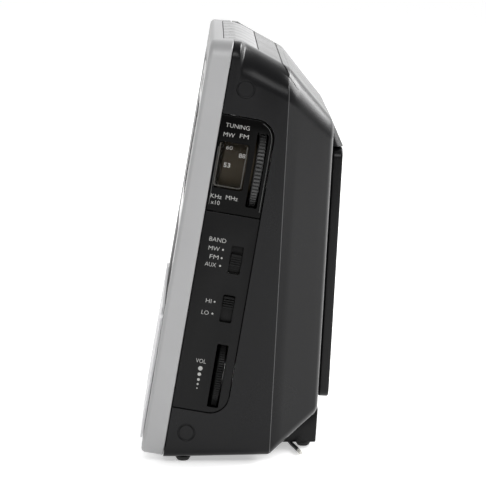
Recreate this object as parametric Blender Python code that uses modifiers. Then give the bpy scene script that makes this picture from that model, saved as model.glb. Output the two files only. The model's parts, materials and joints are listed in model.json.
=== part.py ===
"""Upright radio cassette player, leaning back on two front feet and a rear foot block.

Sizes are in millimetres and are turned into metres where a mesh is made. +Z is up, the front
faces -Y and the controls are on the +X side. Most pieces are placed in one of two leaning frames:
the face frame (y runs into the cabinet from the front face, z runs up along it) and the rear
frame (y runs out of the rear face, z runs up along it).
"""

import math

import bmesh
import bpy
from mathutils import Matrix, Vector

MM = 0.001
GAP = 0.3  # clearance between neighbouring mouldings

# Overall
HALF_WIDTH = 90.0
CASE_HALF = 89.5
FACE_LEAN = 9.8  # degrees, the front face leans back
FACE_Y = -47.0  # where the front face's plane meets the ground
REAR_LEAN = 3.18
REAR_Y = 33.61
WALL = 2.5

# Bezel
BEZEL_DEPTH = 10.1
BEZEL_BOTTOM = 4.2
BEZEL_TOP = 194.8
TOP_DRAFT = 0.1  # the top rises this much per millimetre of depth, up to the bend
TOP_FALL = 0.34  # and falls this much behind it
BEZEL_CORNER = 8.0
BEZEL_FRONT_EDGE = 1.1
OPENING = (80.5, 13.5, 181.0)  # half width, bottom, top

# Case outline in the ground frame, as (y, z)
CASE_BOTTOM_FRONT_Z = 2.4
BEND_DEPTH = 13.0
FLANGE_DEPTH = 3.6
CREASE_BOTTOM = (12.0, 3.2)
CREASE_TOP = (21.4, 178.8)
REAR_BOTTOM = (34.7, 19.6)
REAR_TOP = (42.1, 153.4)
REAR_HALF = 69.5
TOP_FILLET = 15.0
REAR_FILLET = 10.0
BOTTOM_FILLET = 4.0

# Cassette deck, in the face frame
HUB_SPACING = 42.5
HUB_Z = 136.8
CASSETTE_TOP = 167.8
CHASSIS_FRONT = 16.9  # behind a tape that is 12 thick, and the head plate
CHASSIS_THICK = 1.5
DECK = CHASSIS_FRONT + CHASSIS_THICK  # the chassis's rear face
DRIVE = (DECK + 3.0, DECK + 6.6)  # flywheel and pulley, front and back
CAPSTAN = (23.0, 161.0)
CAPSTAN_RADIUS = 1.25
FLYWHEEL_RADIUS = 17.0
MOTOR = (-30.0, 152.0)
PULLEY_RADIUS = 3.5
BELT_PLANE = DECK + 4.8
HEAD_TRAVEL = 6.2
ROLLER_RADIUS = 5.5

# Cassette door, in the face frame
DOOR_HALF = 56.8
DOOR_Z = (98.2, 176.0)
DOOR_Y = (0.25, 2.75)
DOOR_AXIS = (2.45, 100.4)
DOOR_BARREL = 2.2
WINDOW_HALF = 40.0
WINDOW_Z = (116.0, 160.0)

# Keys, in the face frame
WELL_HALF = 71.0
WELL_Y = (5.5, 22.2)
KEY_COUNT = 6
KEY_GAP = 0.6
KEY_NAMES = ("record_key", "play_key", "rewind_key", "forward_key", "stop_eject_key", "pause_key")
KEY_THICK = 3.6

# Side controls, in the face frame
PANEL_Y = (10.4, 35.2)
PANEL_Z = (28.2, 163.1)
PANEL_SPLIT = 119.0
PANEL_CORNER = 8.5
PANEL_X = (87.2, 89.2)
DIAL_Y = (11.2, 25.1)
DIAL_Z = (130.0, 151.1)
WHEEL_PROUD = 2.8
TUNING = {"y": 30.6, "z": 140.5, "radius": 20.0, "thick": 3.5, "slot": (123.4, 157.5), "ribs": 60}
VOLUME = {"y": 29.0, "z": 45.5, "radius": 18.0, "thick": 3.2, "slot": (30.9, 60.1), "ribs": 56}
SLOT_WIDTH = 5.5
DRUM_RADIUS = 14.5
BAND_Z = 99.0
BAND_TRAVEL = 3.7
LEVEL_Z = 79.5
LEVEL_TRAVEL = 5.6
SWITCH_Y = 27.6
KNOB = (4.7, 5.4)  # width, height

# Sockets on the left side, name to height in the face frame
SOCKETS = {"phone_socket": 62.0, "line_in_socket": 78.0}
SOCKET_Y = 24.0

# Speaker, in the face frame
SPEAKER_Z = 40.0
SPEAKER_RADIUS = 28.0
GRILLE_HALF = 78.0
GRILLE_Z = (8.5, 70.0)
GRILLE_Y = (-1.3, -0.3)

# Battery bay and door, in the rear frame
BAY_HALF = 52.3  # two 50 mm cells end to end, and their contacts
BAY_WALL = 1.2
BAY_Z = (32.0, 114.0)
BAY_DEPTH = 29.0
DOOR_B_HALF = 56.4
DOOR_B_Z = (24.0, 140.6)
DOOR_B_THICK = 5.4

# Rear foot block and feet, in the ground frame
BLOCK_HALF = 53.6
BLOCK_BOTTOM = 2.2
FOOT_HEIGHT = 1.9
FRONT_FOOT = (82.0, -27.0)
REAR_FOOT = (49.4, 28.8)

# Wire aerial, in the ground frame
WIRE = 1.9
WIRE_FLOOR = 1.0
COIL_CENTRE = (-109.4, 10.0)
COIL_RADIUS = 11.0
COIL_SECTION = (11.8, 3.95)  # two layers of six turns
GLAND_X = -BLOCK_HALF - GAP
GLAND_AT = (24.0, 6.0)
LEAD_IN = (
    (-59.0, 24.0, 6.0),
    (-62.0, 24.0, 5.8),
    (-66.0, 23.6, 4.6),
    (-71.0, 22.6, 2.4),
    (-77.0, 20.8, 1.2),
    (-84.0, 18.2, WIRE_FLOOR),
    (-91.3, 12.9, WIRE_FLOOR),
)
LEAD_OUT = (
    (-91.0, 7.6, 1.9),
    (-90.2, 4.2, WIRE_FLOOR),
    (-87.0, 1.2, WIRE_FLOOR),
    (-82.0, 0.8, WIRE_FLOOR),
    (-76.0, 4.0, WIRE_FLOOR),
    (-67.0, 11.0, WIRE_FLOOR),
    (-55.0, 17.6, WIRE_FLOOR),
    (-36.0, 21.6, WIRE_FLOOR),
    (-12.0, 21.0, WIRE_FLOOR),
    (14.0, 20.4, WIRE_FLOOR),
    (34.0, 21.2, WIRE_FLOOR),
    (50.0, 23.2, WIRE_FLOOR),
    (60.0, 25.0, WIRE_FLOOR),
    (67.0, 26.2, WIRE_FLOOR),
)

SILVER = ((0.62, 0.62, 0.63), 0.35, 0.6)
BLACK = ((0.03, 0.03, 0.032), 0.45, 0.0)
GLOSS = ((0.015, 0.015, 0.016), 0.12, 0.0)
RUBBER = ((0.02, 0.02, 0.02), 0.8, 0.0)
CLEAR = ((0.25, 0.24, 0.2), 0.08, 0.0)
STEEL = ((0.6, 0.6, 0.6), 0.35, 1.0)
BRASS = ((0.7, 0.55, 0.25), 0.35, 1.0)
PCB = ((0.25, 0.3, 0.1), 0.6, 0.0)
PAPER = ((0.08, 0.08, 0.08), 0.9, 0.0)
WHITE = ((0.8, 0.8, 0.78), 0.5, 0.0)

parts = None
cutters = None
face = None
rear = None


def clear_scene():
    for obj in list(bpy.data.objects):
        bpy.data.objects.remove(obj, do_unlink=True)


def collection(name):
    made = bpy.data.collections.new(name)
    bpy.context.scene.collection.children.link(made)
    return made


def frame(name, y, lean):
    """An empty whose x, y and z axes are a leaning frame's."""
    made = bpy.data.objects.new(name, None)
    made.location = (0, y * MM, 0)
    made.rotation_euler = (math.radians(-lean), 0, 0)
    parts.objects.link(made)
    return made


def material(name, look):
    colour, roughness, metallic = look
    made = bpy.data.materials.new(name)
    made.use_nodes = True
    shader = made.node_tree.nodes["Principled BSDF"]
    shader.inputs["Base Color"].default_value = (*colour, 1)
    shader.inputs["Roughness"].default_value = roughness
    shader.inputs["Metallic"].default_value = metallic
    return made


def new_object(name, mesh_bm, at, parent, look):
    """An object from a bmesh in millimetres, at a place in its parent's frame."""
    bmesh.ops.scale(mesh_bm, vec=(MM, MM, MM), verts=mesh_bm.verts)
    bmesh.ops.recalc_face_normals(mesh_bm, faces=mesh_bm.faces)
    mesh = bpy.data.meshes.new(name)
    mesh_bm.to_mesh(mesh)
    mesh_bm.free()
    obj = bpy.data.objects.new(name, mesh)
    obj.location = Vector(at) * MM
    obj.parent = parent
    if look is None:
        cutters.objects.link(obj)
        obj.hide_render = True
        obj.display_type = "WIRE"
    else:
        parts.objects.link(obj)
        mesh.materials.append(material(name, look))
    return obj


def box(name, x, y, z, parent, look, at=(0, 0, 0)):
    """A box from (low, high) pairs, measured from its object's place."""
    bm = bmesh.new()
    bmesh.ops.create_cube(bm, size=1)
    size = [high - low for low, high in (x, y, z)]
    middle = [(high + low) / 2 for low, high in (x, y, z)]
    bmesh.ops.scale(bm, vec=size, verts=bm.verts)
    bmesh.ops.translate(bm, vec=middle, verts=bm.verts)
    return new_object(name, bm, at, parent, look)


TURN_TO = {
    "x": Matrix.Rotation(math.pi / 2, 3, "Y"),
    "y": Matrix.Rotation(-math.pi / 2, 3, "X"),
    "z": Matrix.Identity(3),
}


def rod(name, radius, span, axis, parent, look, at=(0, 0, 0), sides=20):
    """A cylinder from span[0] to span[1] along an axis through its object's place."""
    bm = bmesh.new()
    depth = span[1] - span[0]
    bmesh.ops.create_cone(
        bm, cap_ends=True, segments=sides, radius1=radius, radius2=radius, depth=depth
    )
    bmesh.ops.translate(bm, vec=(0, 0, (span[0] + span[1]) / 2), verts=bm.verts)
    bmesh.ops.rotate(bm, matrix=TURN_TO[axis], verts=bm.verts)
    obj = new_object(name, bm, at, parent, look)
    smooth(obj)
    return obj


def turned(name, profile, axis, parent, look, at=(0, 0, 0), sides=24):
    """A turned solid from (radius, height) points that run up its outer side: from the axis back
    to the axis, or round a closed loop where none is on the axis."""
    bm = bmesh.new()
    verts = [bm.verts.new((radius, 0, height)) for radius, height in reversed(profile)]
    closed = profile[0][0] > 0
    for first, second in zip(verts, verts[1:] + verts[:1] if closed else verts[1:]):
        bm.edges.new((first, second))
    bmesh.ops.rotate(bm, matrix=TURN_TO[axis], verts=bm.verts)
    obj = new_object(name, bm, at, parent, look)
    screw = obj.modifiers.new("turn", "SCREW")
    screw.axis = axis.upper()
    screw.steps = sides
    screw.render_steps = sides
    screw.use_merge_vertices = True
    screw.merge_threshold = 0.00001
    return obj


def prism(name, outline, span, axis, parent, look, at=(0, 0, 0)):
    """An outline extruded along x (outline in y, z) or along y (outline in x, z)."""
    bm = bmesh.new()
    low, high = span
    if axis == "x":
        verts = [bm.verts.new((low, a, b)) for a, b in outline]
        push = (high - low, 0, 0)
    else:
        verts = [bm.verts.new((a, low, b)) for a, b in outline]
        push = (0, high - low, 0)
    flat = bm.faces.new(verts)
    moved = bmesh.ops.extrude_face_region(bm, geom=[flat])["geom"]
    bmesh.ops.translate(bm, vec=push, verts=[v for v in moved if isinstance(v, bmesh.types.BMVert)])
    return new_object(name, bm, at, parent, look)


def arc(centre, radius, start, end, steps):
    """Points on an arc, from one angle in degrees to another."""
    for i in range(steps + 1):
        angle = math.radians(start + (end - start) * i / steps)
        yield (centre[0] + radius * math.cos(angle), centre[1] + radius * math.sin(angle))


def rounded(a, b, radii, steps=4):
    """A rectangle from a = (low, high) and b = (low, high) with the radii of its corners
    (low low, high low, high high, low high), as points that run round it."""
    points = []
    corners = ((a[0], b[0], 1, 1), (a[1], b[0], -1, 1), (a[1], b[1], -1, -1), (a[0], b[1], 1, -1))
    for i, ((p, q, sp, sq), radius) in enumerate(zip(corners, radii)):
        if radius == 0:
            points.append((p, q))
        else:
            centre = (p + sp * radius, q + sq * radius)
            points.extend(arc(centre, radius, 180 + 90 * i, 270 + 90 * i, steps))
    return points


def section(half, bottom, top, radii, inset=0.0, steps=(3, 6)):
    """A rounded section between a bottom and a top point, both (y, z), wound one way round.
    radii are the bottom and top corners'; inset shrinks it all round."""
    low, high = Vector(bottom), Vector(top)
    up = (high - low).normalized()
    low, tall = low + up * inset, (high - low).length - 2 * inset
    half = half - inset
    lower, upper = (max(radius - inset, 0.6) for radius in radii)
    ring = list(arc((half - lower, lower), lower, -90, 0, steps[0]))
    ring += list(arc((half - upper, tall - upper), upper, 0, 90, steps[1]))
    ring += list(arc((-half + upper, tall - upper), upper, 90, 180, steps[1]))
    ring += list(arc((-half + lower, lower), lower, 180, 270, steps[0]))
    return [Vector((x, low.x + up.x * v, low.y + up.y * v)) for x, v in ring]


def skin(name, rings, parent, look):
    """A closed body through rings of equal length, joined end to end."""
    bm = bmesh.new()
    rows = [[bm.verts.new(point) for point in ring] for ring in rings]
    count = len(rows[0])
    for row, after in zip(rows, rows[1:] + rows[:1]):
        for i in range(count):
            j = (i + 1) % count
            bm.faces.new((row[i], row[j], after[j], after[i]))
    obj = new_object(name, bm, (0, 0, 0), parent, look)
    smooth(obj, 25)
    return obj


def cup(name, outer, inner, parent, look):
    """A shell open at its first rings and capped at its last ones."""
    bm = bmesh.new()
    outside = [[bm.verts.new(point) for point in ring] for ring in outer]
    inside = [[bm.verts.new(point) for point in ring] for ring in inner]
    count = len(outer[0])
    for rows in (outside, inside):
        for row, after in zip(rows, rows[1:]):
            for i in range(count):
                j = (i + 1) % count
                bm.faces.new((row[i], row[j], after[j], after[i]))
        bm.faces.new(rows[-1])
    for i in range(count):
        j = (i + 1) % count
        bm.faces.new((outside[0][i], outside[0][j], inside[0][j], inside[0][i]))
    obj = new_object(name, bm, (0, 0, 0), parent, look)
    smooth(obj, 25)
    return obj


def smooth(obj, angle=40):
    obj.data.shade_smooth()
    obj.data.set_sharp_from_angle(angle=math.radians(angle))


def combine(obj, tool, operation):
    modifier = obj.modifiers.new(tool.name, "BOOLEAN")
    modifier.operation = operation
    modifier.object = tool
    modifier.solver = "EXACT"
    return obj


def cut(obj, *tools):
    for tool in tools:
        combine(obj, tool, "DIFFERENCE")
    return obj


def join(obj, *tools):
    for tool in tools:
        combine(obj, tool, "UNION")
    return obj


def soften(obj, width, segments=2, angle=35):
    """A Bevel on the sharp edges of a plain solid."""
    modifier = obj.modifiers.new("edges", "BEVEL")
    modifier.width = width * MM
    modifier.segments = segments
    modifier.limit_method = "ANGLE"
    modifier.angle_limit = math.radians(angle)
    return obj


def face_point(y, z):
    """A face-frame (y, z) in the ground frame."""
    lean = math.radians(FACE_LEAN)
    return (
        FACE_Y + y * math.cos(lean) + z * math.sin(lean),
        -y * math.sin(lean) + z * math.cos(lean),
    )


def face_height(y, ground_z):
    """The face-frame z at which depth y reaches a ground height."""
    lean = math.radians(FACE_LEAN)
    return (ground_z + y * math.sin(lean)) / math.cos(lean)


def top_at(y):
    """The height of the top at a depth, in the face frame."""
    return BEZEL_TOP + TOP_DRAFT * min(y, BEND_DEPTH) - TOP_FALL * max(y - BEND_DEPTH, 0)


# ---------------------------------------------------------------- casing


def bezel_ring(y, inset, half=HALF_WIDTH, low=BEZEL_BOTTOM, high=None, corner=BEZEL_CORNER):
    high = top_at(y) if high is None else high
    return section(half, (y, low), (y, high), (corner, corner), inset, steps=(5, 5))


def make_bezel(well):
    half, low, high = OPENING
    lip = WALL + 0.1
    rings = [
        bezel_ring(BEZEL_DEPTH, 0),
        bezel_ring(BEZEL_FRONT_EDGE, 0),
        bezel_ring(BEZEL_FRONT_EDGE * 0.3, BEZEL_FRONT_EDGE * 0.3),
        bezel_ring(0, BEZEL_FRONT_EDGE),
        bezel_ring(0, 0, half, low, high, 5),
        bezel_ring(lip, 0, half, low, high, 5),
        bezel_ring(lip, WALL),
        bezel_ring(BEZEL_DEPTH, WALL),
    ]
    cut(skin("front_bezel", rings, face, SILVER), well)


def make_front_cabinet(well, side_hole):
    front_depth = BEZEL_DEPTH + GAP
    steps = []
    for depth, radius in (
        (front_depth, BEZEL_CORNER),
        (front_depth + FLANGE_DEPTH, BEZEL_CORNER),
        (front_depth + FLANGE_DEPTH + 0.5, TOP_FILLET),
    ):
        low = face_point(depth, face_height(depth, CASE_BOTTOM_FRONT_Z))
        high = face_point(depth, top_at(depth))
        steps.append((low, high, radius))
    steps.append((CREASE_BOTTOM, CREASE_TOP, TOP_FILLET))
    outer = [section(CASE_HALF, low, high, (BOTTOM_FILLET, r)) for low, high, r in steps]
    inner = [section(CASE_HALF, low, high, (BOTTOM_FILLET, r), WALL) for low, high, r in steps]
    shell = skin("front_cabinet", outer + inner[::-1], None, BLACK)
    cut(shell, well, side_hole)
    for z in SOCKETS.values():
        hole = rod("socket_hole", 4.2, (-95, -80), "x", face, None, (0, SOCKET_Y, z), 20)
        cut(shell, hole)


def rear_section(blend, inset=0.0):
    """A section of the rear cabinet, from the crease (0) to the rear face (1)."""
    def between(a, b):
        return tuple(p + (q - p) * blend for p, q in zip(a, b))

    low = between((CREASE_BOTTOM[0] + GAP, CREASE_BOTTOM[1] + 0.15), REAR_BOTTOM)
    high = between((CREASE_TOP[0] + GAP, CREASE_TOP[1] - 0.3), REAR_TOP)
    half = CASE_HALF + (REAR_HALF - CASE_HALF) * blend
    fillet = TOP_FILLET + (REAR_FILLET - TOP_FILLET) * blend
    return section(half, low, high, (BOTTOM_FILLET, fillet), inset)


def make_rear_cabinet(bay_hole):
    edge = 2.4
    last = shift_back(rear_section(1.0, 0.5), 0.2)
    outer = [rear_section(0.0), rear_section(0.94), last, rear_section(1.0, edge)]
    inner = [
        rear_section(0.0, WALL),
        rear_section(0.84, WALL + 0.8),
        shift_back(rear_section(1.0, edge + 1.0), WALL),
    ]
    shell = cup("rear_cabinet", outer, inner, None, BLACK)
    ramp_top, ramp_end = (0.0, 152.4), (DOOR_B_THICK + 0.2, DOOR_B_Z[1] + 0.6)
    ramp_outline = [(-1.5, ramp_top[1]), ramp_top, ramp_end, (-1.5, ramp_end[1])]
    ramp = prism("ramp", ramp_outline, (-DOOR_B_HALF, DOOR_B_HALF), "x", rear, None)
    return cut(join(shell, ramp), bay_hole)


def shift_back(ring, distance):
    return [point - Vector((0, distance, 0)) for point in ring]


def make_front_panel():
    half, low, high = OPENING
    outline = rounded((-half + GAP, half - GAP), (low + GAP, high - GAP), (4.7,) * 4)
    panel = prism("front_panel", outline, (1.2, 3.7), "y", face, GLOSS)
    hole = (-DOOR_HALF - 0.4, DOOR_HALF + 0.4)
    doorway = box("doorway", hole, (0, 6), (DOOR_Z[0] - 0.5, DOOR_Z[1] + 0.4), face, None)
    speaker = rod("speaker_hole", SPEAKER_RADIUS - 2, (0, 6), "y", face, None, (0, 0, SPEAKER_Z), 32)
    pin_hole = rod("pin_hole", 0.95, (-62.5, 62.5), "x", face, None, (0, *DOOR_AXIS), 12)
    cut(panel, doorway, speaker, pin_hole)


def make_speaker():
    outline = rounded((-GRILLE_HALF, GRILLE_HALF), GRILLE_Z, (6,) * 4, 5)
    soften(prism("speaker_grille", outline, GRILLE_Y, "y", face, STEEL), 0.4, 1)
    at = (0, 4.0, SPEAKER_Z)
    r = SPEAKER_RADIUS
    basket = [(r + 2, 0), (r + 2, 2), (r - 3, 2), (13, 13), (6, 13), (6, 11.4), (12, 11.4)]
    basket += [(r - 5, 1.0), (r - 3, 0)]
    turned("speaker_basket", basket, "y", face, STEEL, at, 32)
    magnet = [(0, 13.4), (15, 13.4), (15, 22), (0, 22)]
    turned("speaker_magnet", magnet, "y", face, STEEL, at, 24)
    cone = [(0, 6.5), (8, 8.0), (r - 7, 0.4), (r - 3.4, -0.6), (r - 3.4, 0), (r - 7, 1.0)]
    cone += [(8, 8.8), (0, 7.3)]
    turned("speaker_cone", cone, "y", face, PAPER, at, 32)


# ---------------------------------------------------------------- side controls


def panel_outline(low, high, corners):
    return rounded((PANEL_Y[0], PANEL_Y[1]), (low, high), corners, 5)


def slot(name, z, half_height):
    """A slot through the side panel."""
    y = (SWITCH_Y - SLOT_WIDTH / 2, SWITCH_Y + SLOT_WIDTH / 2)
    return box(name, (80, 95), y, (z - half_height, z + half_height), face, None)


def wheel_slot(wheel):
    y = (wheel["y"] - SLOT_WIDTH / 2 - 0.3, wheel["y"] + wheel["thick"] / 2 + 0.5)
    return box("wheel_slot", (80, 95), y, wheel["slot"], face, None)


def make_side_panels():
    lower = panel_outline(PANEL_Z[0], PANEL_SPLIT, (0, PANEL_CORNER, 0, 0))
    body = prism("side_control_panel", lower, PANEL_X, "x", face, BLACK)
    cut(body, slot("band_slot", BAND_Z, 6.4), slot("level_slot", LEVEL_Z - 3.0, 6.3))
    cut(body, wheel_slot(VOLUME))
    upper = panel_outline(PANEL_SPLIT + GAP, PANEL_Z[1], (0, 0, PANEL_CORNER, 0))
    gloss = prism("tuning_panel", upper, PANEL_X, "x", face, GLOSS)
    window = box("window_hole", (80, 95), DIAL_Y, DIAL_Z, face, None)
    cut(gloss, wheel_slot(TUNING), window)
    y, z = [(pair[0] + GAP, pair[1] - GAP) for pair in (DIAL_Y, DIAL_Z)]
    box("dial_window", (87.7, 89.0), y, z, face, CLEAR)


def make_side_hole():
    y = (PANEL_Y[0] - 3, PANEL_Y[1] + GAP)
    z = (PANEL_Z[0] - GAP, PANEL_Z[1] + GAP)
    corner = PANEL_CORNER + GAP
    return prism("panel_hole", rounded(y, z, (0, corner, corner, 0), 5), (80, 95), "x", face, None)


def wheel_centre(wheel):
    return CASE_HALF + WHEEL_PROUD - wheel["radius"]


def ribbed_wheel(name, wheel, look):
    """A thumb wheel with a ribbed rim, turning about y."""
    count = wheel["ribs"]
    outline = []
    for i in range(2 * count):
        radius = wheel["radius"] - (0 if i % 2 else 0.55)
        angle = math.pi * i / count
        outline.append((radius * math.cos(angle), radius * math.sin(angle)))
    half = wheel["thick"] / 2
    at = (wheel_centre(wheel), wheel["y"], wheel["z"])
    made = prism(name, outline, (-half, half), "y", face, look, at)
    return cut(made, rod("bore", 2.3, (-half - 1, half + 1), "y", face, None, at, 16))


def make_tuner():
    ribbed_wheel("tuning_wheel", TUNING, BLACK)
    x, z = wheel_centre(TUNING), TUNING["z"]
    back = TUNING["y"] - TUNING["thick"] / 2 - GAP
    drum = [(0, back - 2.4), (DRUM_RADIUS - 1.6, back - 2.4), (DRUM_RADIUS - 1.6, 14.2)]
    drum += [(DRUM_RADIUS, 14.2), (DRUM_RADIUS, back), (2.0, back), (2.0, 34.7), (0, 34.7)]
    turned("dial_drum", drum, "y", face, WHITE, (x, 0, z), 40)
    box("tuning_capacitor", (-9, 7), (35, 44), (-8, 8), face, WHITE, (x, 0, z))


def make_volume():
    ribbed_wheel("volume_wheel", VOLUME, BLACK)
    x, z = wheel_centre(VOLUME), VOLUME["z"]
    far = VOLUME["y"] + VOLUME["thick"] / 2 + GAP
    near = VOLUME["y"] - VOLUME["thick"] / 2
    body = [(0, near), (2.0, near), (2.0, far), (8, far), (8, far + 5), (0, far + 5)]
    turned("volume_pot", body, "y", face, STEEL, (x, 0, z), 20)


def slide_switch(name, z, reach):
    """A slide knob through the panel's slot, and the switch body behind it."""
    width, height = KNOB
    at = (CASE_HALF, SWITCH_Y, z)
    knob = box(name + "_knob", (-3.6, 1.9), (-width / 2, width / 2), (-height / 2, height / 2),
               face, BLACK, at)
    ridges = []
    for i in range(3):
        low = -height / 2 + 0.9 + 1.4 * i
        ridges.append(box("ridge", (1.3, 2.5), (-width / 2 - 1, width / 2 + 1), (low, low + 0.7),
                          face, None, at))
    flange = box("flange", (-3.9, -2.7), (-3.6, 3.6), reach, face, None, at)
    cut(join(knob, flange), *ridges)
    box(name + "_body", (-10.0, -4.2), (-3.4, 3.4), (-9.5, 9.5), face, STEEL, at)


# ---------------------------------------------------------------- cassette door and deck


def make_door():
    """The door turns about its lower edge; its place is on that axis."""
    y0, z0 = DOOR_AXIS
    at = (0, y0, z0)
    x = (-DOOR_HALF, DOOR_HALF)
    plate = box("cassette_door", x, (DOOR_Y[0] - y0, DOOR_Y[1] - y0),
                (0, DOOR_Z[1] - z0), face, BLACK, at)
    barrel = rod("barrel", DOOR_BARREL, x, "x", face, None, at, 20)
    window = box("door_hole", (-WINDOW_HALF, WINDOW_HALF), (-9, 9),
                 (WINDOW_Z[0] - z0, WINDOW_Z[1] - z0), face, None, at)
    guides = []
    for side in (-1, 1):
        span = sorted((side * 51.2, side * 53.4))
        guides.append(box("guide", span, (0, 12.0), (2.8, 49.0), face, None, at))
    shelf = box("shelf", (-53.4, 53.4), (0, 8.0), (1.0, 2.9), face, None, at)
    bore = rod("door_bore", 1.1, (-60, 60), "x", face, None, at, 12)
    cut(join(plate, barrel, *guides, shelf), window, bore)
    soft = (WINDOW_HALF - GAP, WINDOW_Z[0] + GAP - z0, WINDOW_Z[1] - GAP - z0)
    box("door_window", (-soft[0], soft[0]), (DOOR_Y[0] + 0.2 - y0, DOOR_Y[1] - 0.8 - y0),
        soft[1:], face, CLEAR, at)
    rod("door_hinge_pin", 0.7, (-61.5, 61.5), "x", face, STEEL, at, 10)


def make_deck():
    plate = box("deck_chassis", (-54, 54), (CHASSIS_FRONT, DECK), (99, 177), face, STEEL)
    through = (CHASSIS_FRONT - 2, DECK + 2)
    for name, side in (("supply_spindle", -1), ("takeup_spindle", 1)):
        at = (side * HUB_SPACING / 2, 0, HUB_Z)
        cut(plate, rod("spindle_hole", 3.2, through, "y", face, None, at, 16))
        hub = [(0, 6.5), (1.6, 6.5), (2.8, 8.5), (2.8, 13.8), (9, 13.8), (9, 15.4), (2.8, 15.4)]
        hub += [(2.8, DECK + 0.4), (10.5, DECK + 0.4), (10.5, DECK + 2.4), (0, DECK + 2.4)]
        turned(name, hub, "y", face, WHITE, at, 20)
    at = (CAPSTAN[0], 0, CAPSTAN[1])
    cut(plate, rod("capstan_hole", 1.8, through, "y", face, None, at, 12))
    wheel = [(0, 7.0), (CAPSTAN_RADIUS, 7.0), (CAPSTAN_RADIUS, DRIVE[0])]
    wheel += [(FLYWHEEL_RADIUS, DRIVE[0]), (FLYWHEEL_RADIUS, DRIVE[1]), (0, DRIVE[1])]
    turned("capstan_flywheel", wheel, "y", face, STEEL, at, 32)
    bracket_y = (DRIVE[1] + 0.6, DRIVE[1] + 1.8)
    bracket = box("flywheel_bracket", (-45, 45), bracket_y, (138, 177), face, STEEL)
    at = (MOTOR[0], 0, MOTOR[1])
    hole = (bracket_y[0] - 2, bracket_y[1] + 2)
    cut(bracket, rod("motor_hole", 3.0, hole, "y", face, None, at, 16))
    shaft_end = bracket_y[1] + 0.3
    pulley = [(0, DRIVE[0]), (PULLEY_RADIUS, DRIVE[0]), (PULLEY_RADIUS, DRIVE[1])]
    pulley += [(1.0, DRIVE[1]), (1.0, shaft_end), (0, shaft_end)]
    turned("motor_pulley", pulley, "y", face, BRASS, at, 20)
    rod("motor", 12, (shaft_end + GAP, shaft_end + GAP + 18), "y", face, STEEL, at, 28)
    make_belt()


def make_belt():
    """A flat belt round the flywheel and the motor's pulley."""
    rims = (FLYWHEEL_RADIUS + GAP, PULLEY_RADIUS + GAP)
    run = Vector((MOTOR[0] - CAPSTAN[0], MOTOR[1] - CAPSTAN[1]))
    heading = math.degrees(math.atan2(run.y, run.x))
    tilt = math.degrees(math.acos((rims[0] - rims[1]) / run.length))

    def loop(extra):
        points = list(arc(CAPSTAN, rims[0] + extra, heading + tilt, heading + 360 - tilt, 20))
        return points + list(arc(MOTOR, rims[1] + extra, heading - tilt, heading + tilt, 8))

    span = (BELT_PLANE - 1.0, BELT_PLANE + 1.0)
    belt = prism("drive_belt", loop(0.8), span, "y", face, RUBBER)
    cut(belt, prism("belt_inside", loop(0), (span[0] - 1, span[1] + 1), "y", face, None))


def make_heads():
    """The head plate slides down behind the tape; the heads and the roller ride on it."""
    low = CASSETTE_TOP + 0.8
    plate_y = (CHASSIS_FRONT - 1.5, CHASSIS_FRONT - GAP)
    plate = box("head_plate", (-32, 34), plate_y, (low, 178.4), face, STEEL)
    y = (4.5, plate_y[0] - GAP)
    soften(box("play_head", (-6, 6), y, (low, low + 6.4), face, STEEL), 0.8)
    box("erase_head", (-24, -17), y, (low + 0.2, low + 5.9), face, BLACK)
    centre = CAPSTAN[1] + CAPSTAN_RADIUS + ROLLER_RADIUS + HEAD_TRAVEL + 0.3
    ring = [(1.3, 6.0), (ROLLER_RADIUS, 6.0), (ROLLER_RADIUS, 11.5), (1.3, 11.5)]
    turned("pinch_roller", ring, "y", face, RUBBER, (CAPSTAN[0], 0, centre), 24)
    pin = (5.0, sum(plate_y) / 2)
    join(plate, rod("roller_pin", 1.0, pin, "y", face, None, (CAPSTAN[0], 0, centre), 10))


# ---------------------------------------------------------------- keys


def make_keys():
    width = (2 * WELL_HALF - 0.8 - (KEY_COUNT - 1) * KEY_GAP) / KEY_COUNT
    front, back = WELL_Y[0] + 0.4, WELL_Y[1] - 0.4
    top_front, top_bend = top_at(front) - 0.1, top_at(BEND_DEPTH) - 0.1
    top_back = top_at(back) - 0.1
    outline = [(front, top_front), (BEND_DEPTH, top_bend), (back, top_back)]
    outline += [(back, top_back - KEY_THICK), (16, top_bend - 1.6 - KEY_THICK), (16, 182)]
    outline += [(12, 182), (12, top_front - KEY_THICK), (front, top_front - KEY_THICK)]
    guide = box("key_guide", (-WELL_HALF, WELL_HALF), (10, 20), (182.6, 184.2), face, STEEL)
    for i, name in enumerate(KEY_NAMES):
        left = -WELL_HALF + 0.4 + i * (width + KEY_GAP)
        key = prism(name, outline, (left, left + width), "x", face, SILVER)
        soften(key, 0.5, 2)
        hole = (left - 0.25, left + width + 0.25)
        cut(guide, box("key_hole", hole, (11.6, 16.4), (180, 190), face, None))


# ---------------------------------------------------------------- inside


def make_electronics():
    box("circuit_board", (-72, 58), (33.5, 35.1), (14, 92), face, PCB)
    rod("ferrite_aerial", 4.0, (-55, 45), "x", None, BLACK, (0, 14.0, 165.0), 14)


def make_battery_bay():
    half, (low, high) = BAY_HALF + BAY_WALL, BAY_Z
    outer = box("battery_tray", (-half, half), (-BAY_DEPTH, -0.2),
                (low - BAY_WALL, high + BAY_WALL), rear, BLACK)
    inside = box("bay", (-BAY_HALF, BAY_HALF), (BAY_WALL - BAY_DEPTH, 5), (low, high), rear, None)
    cut(outer, inside)
    tall = (low + 3, high - 3)
    for side, name in ((-1, "battery_contact_left"), (1, "battery_contact_right")):
        x = sorted((side * (BAY_HALF - GAP), side * (BAY_HALF - GAP - 0.6)))
        box(name, x, (-22, -6), tall, rear, STEEL)
    make_battery_door()


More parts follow.
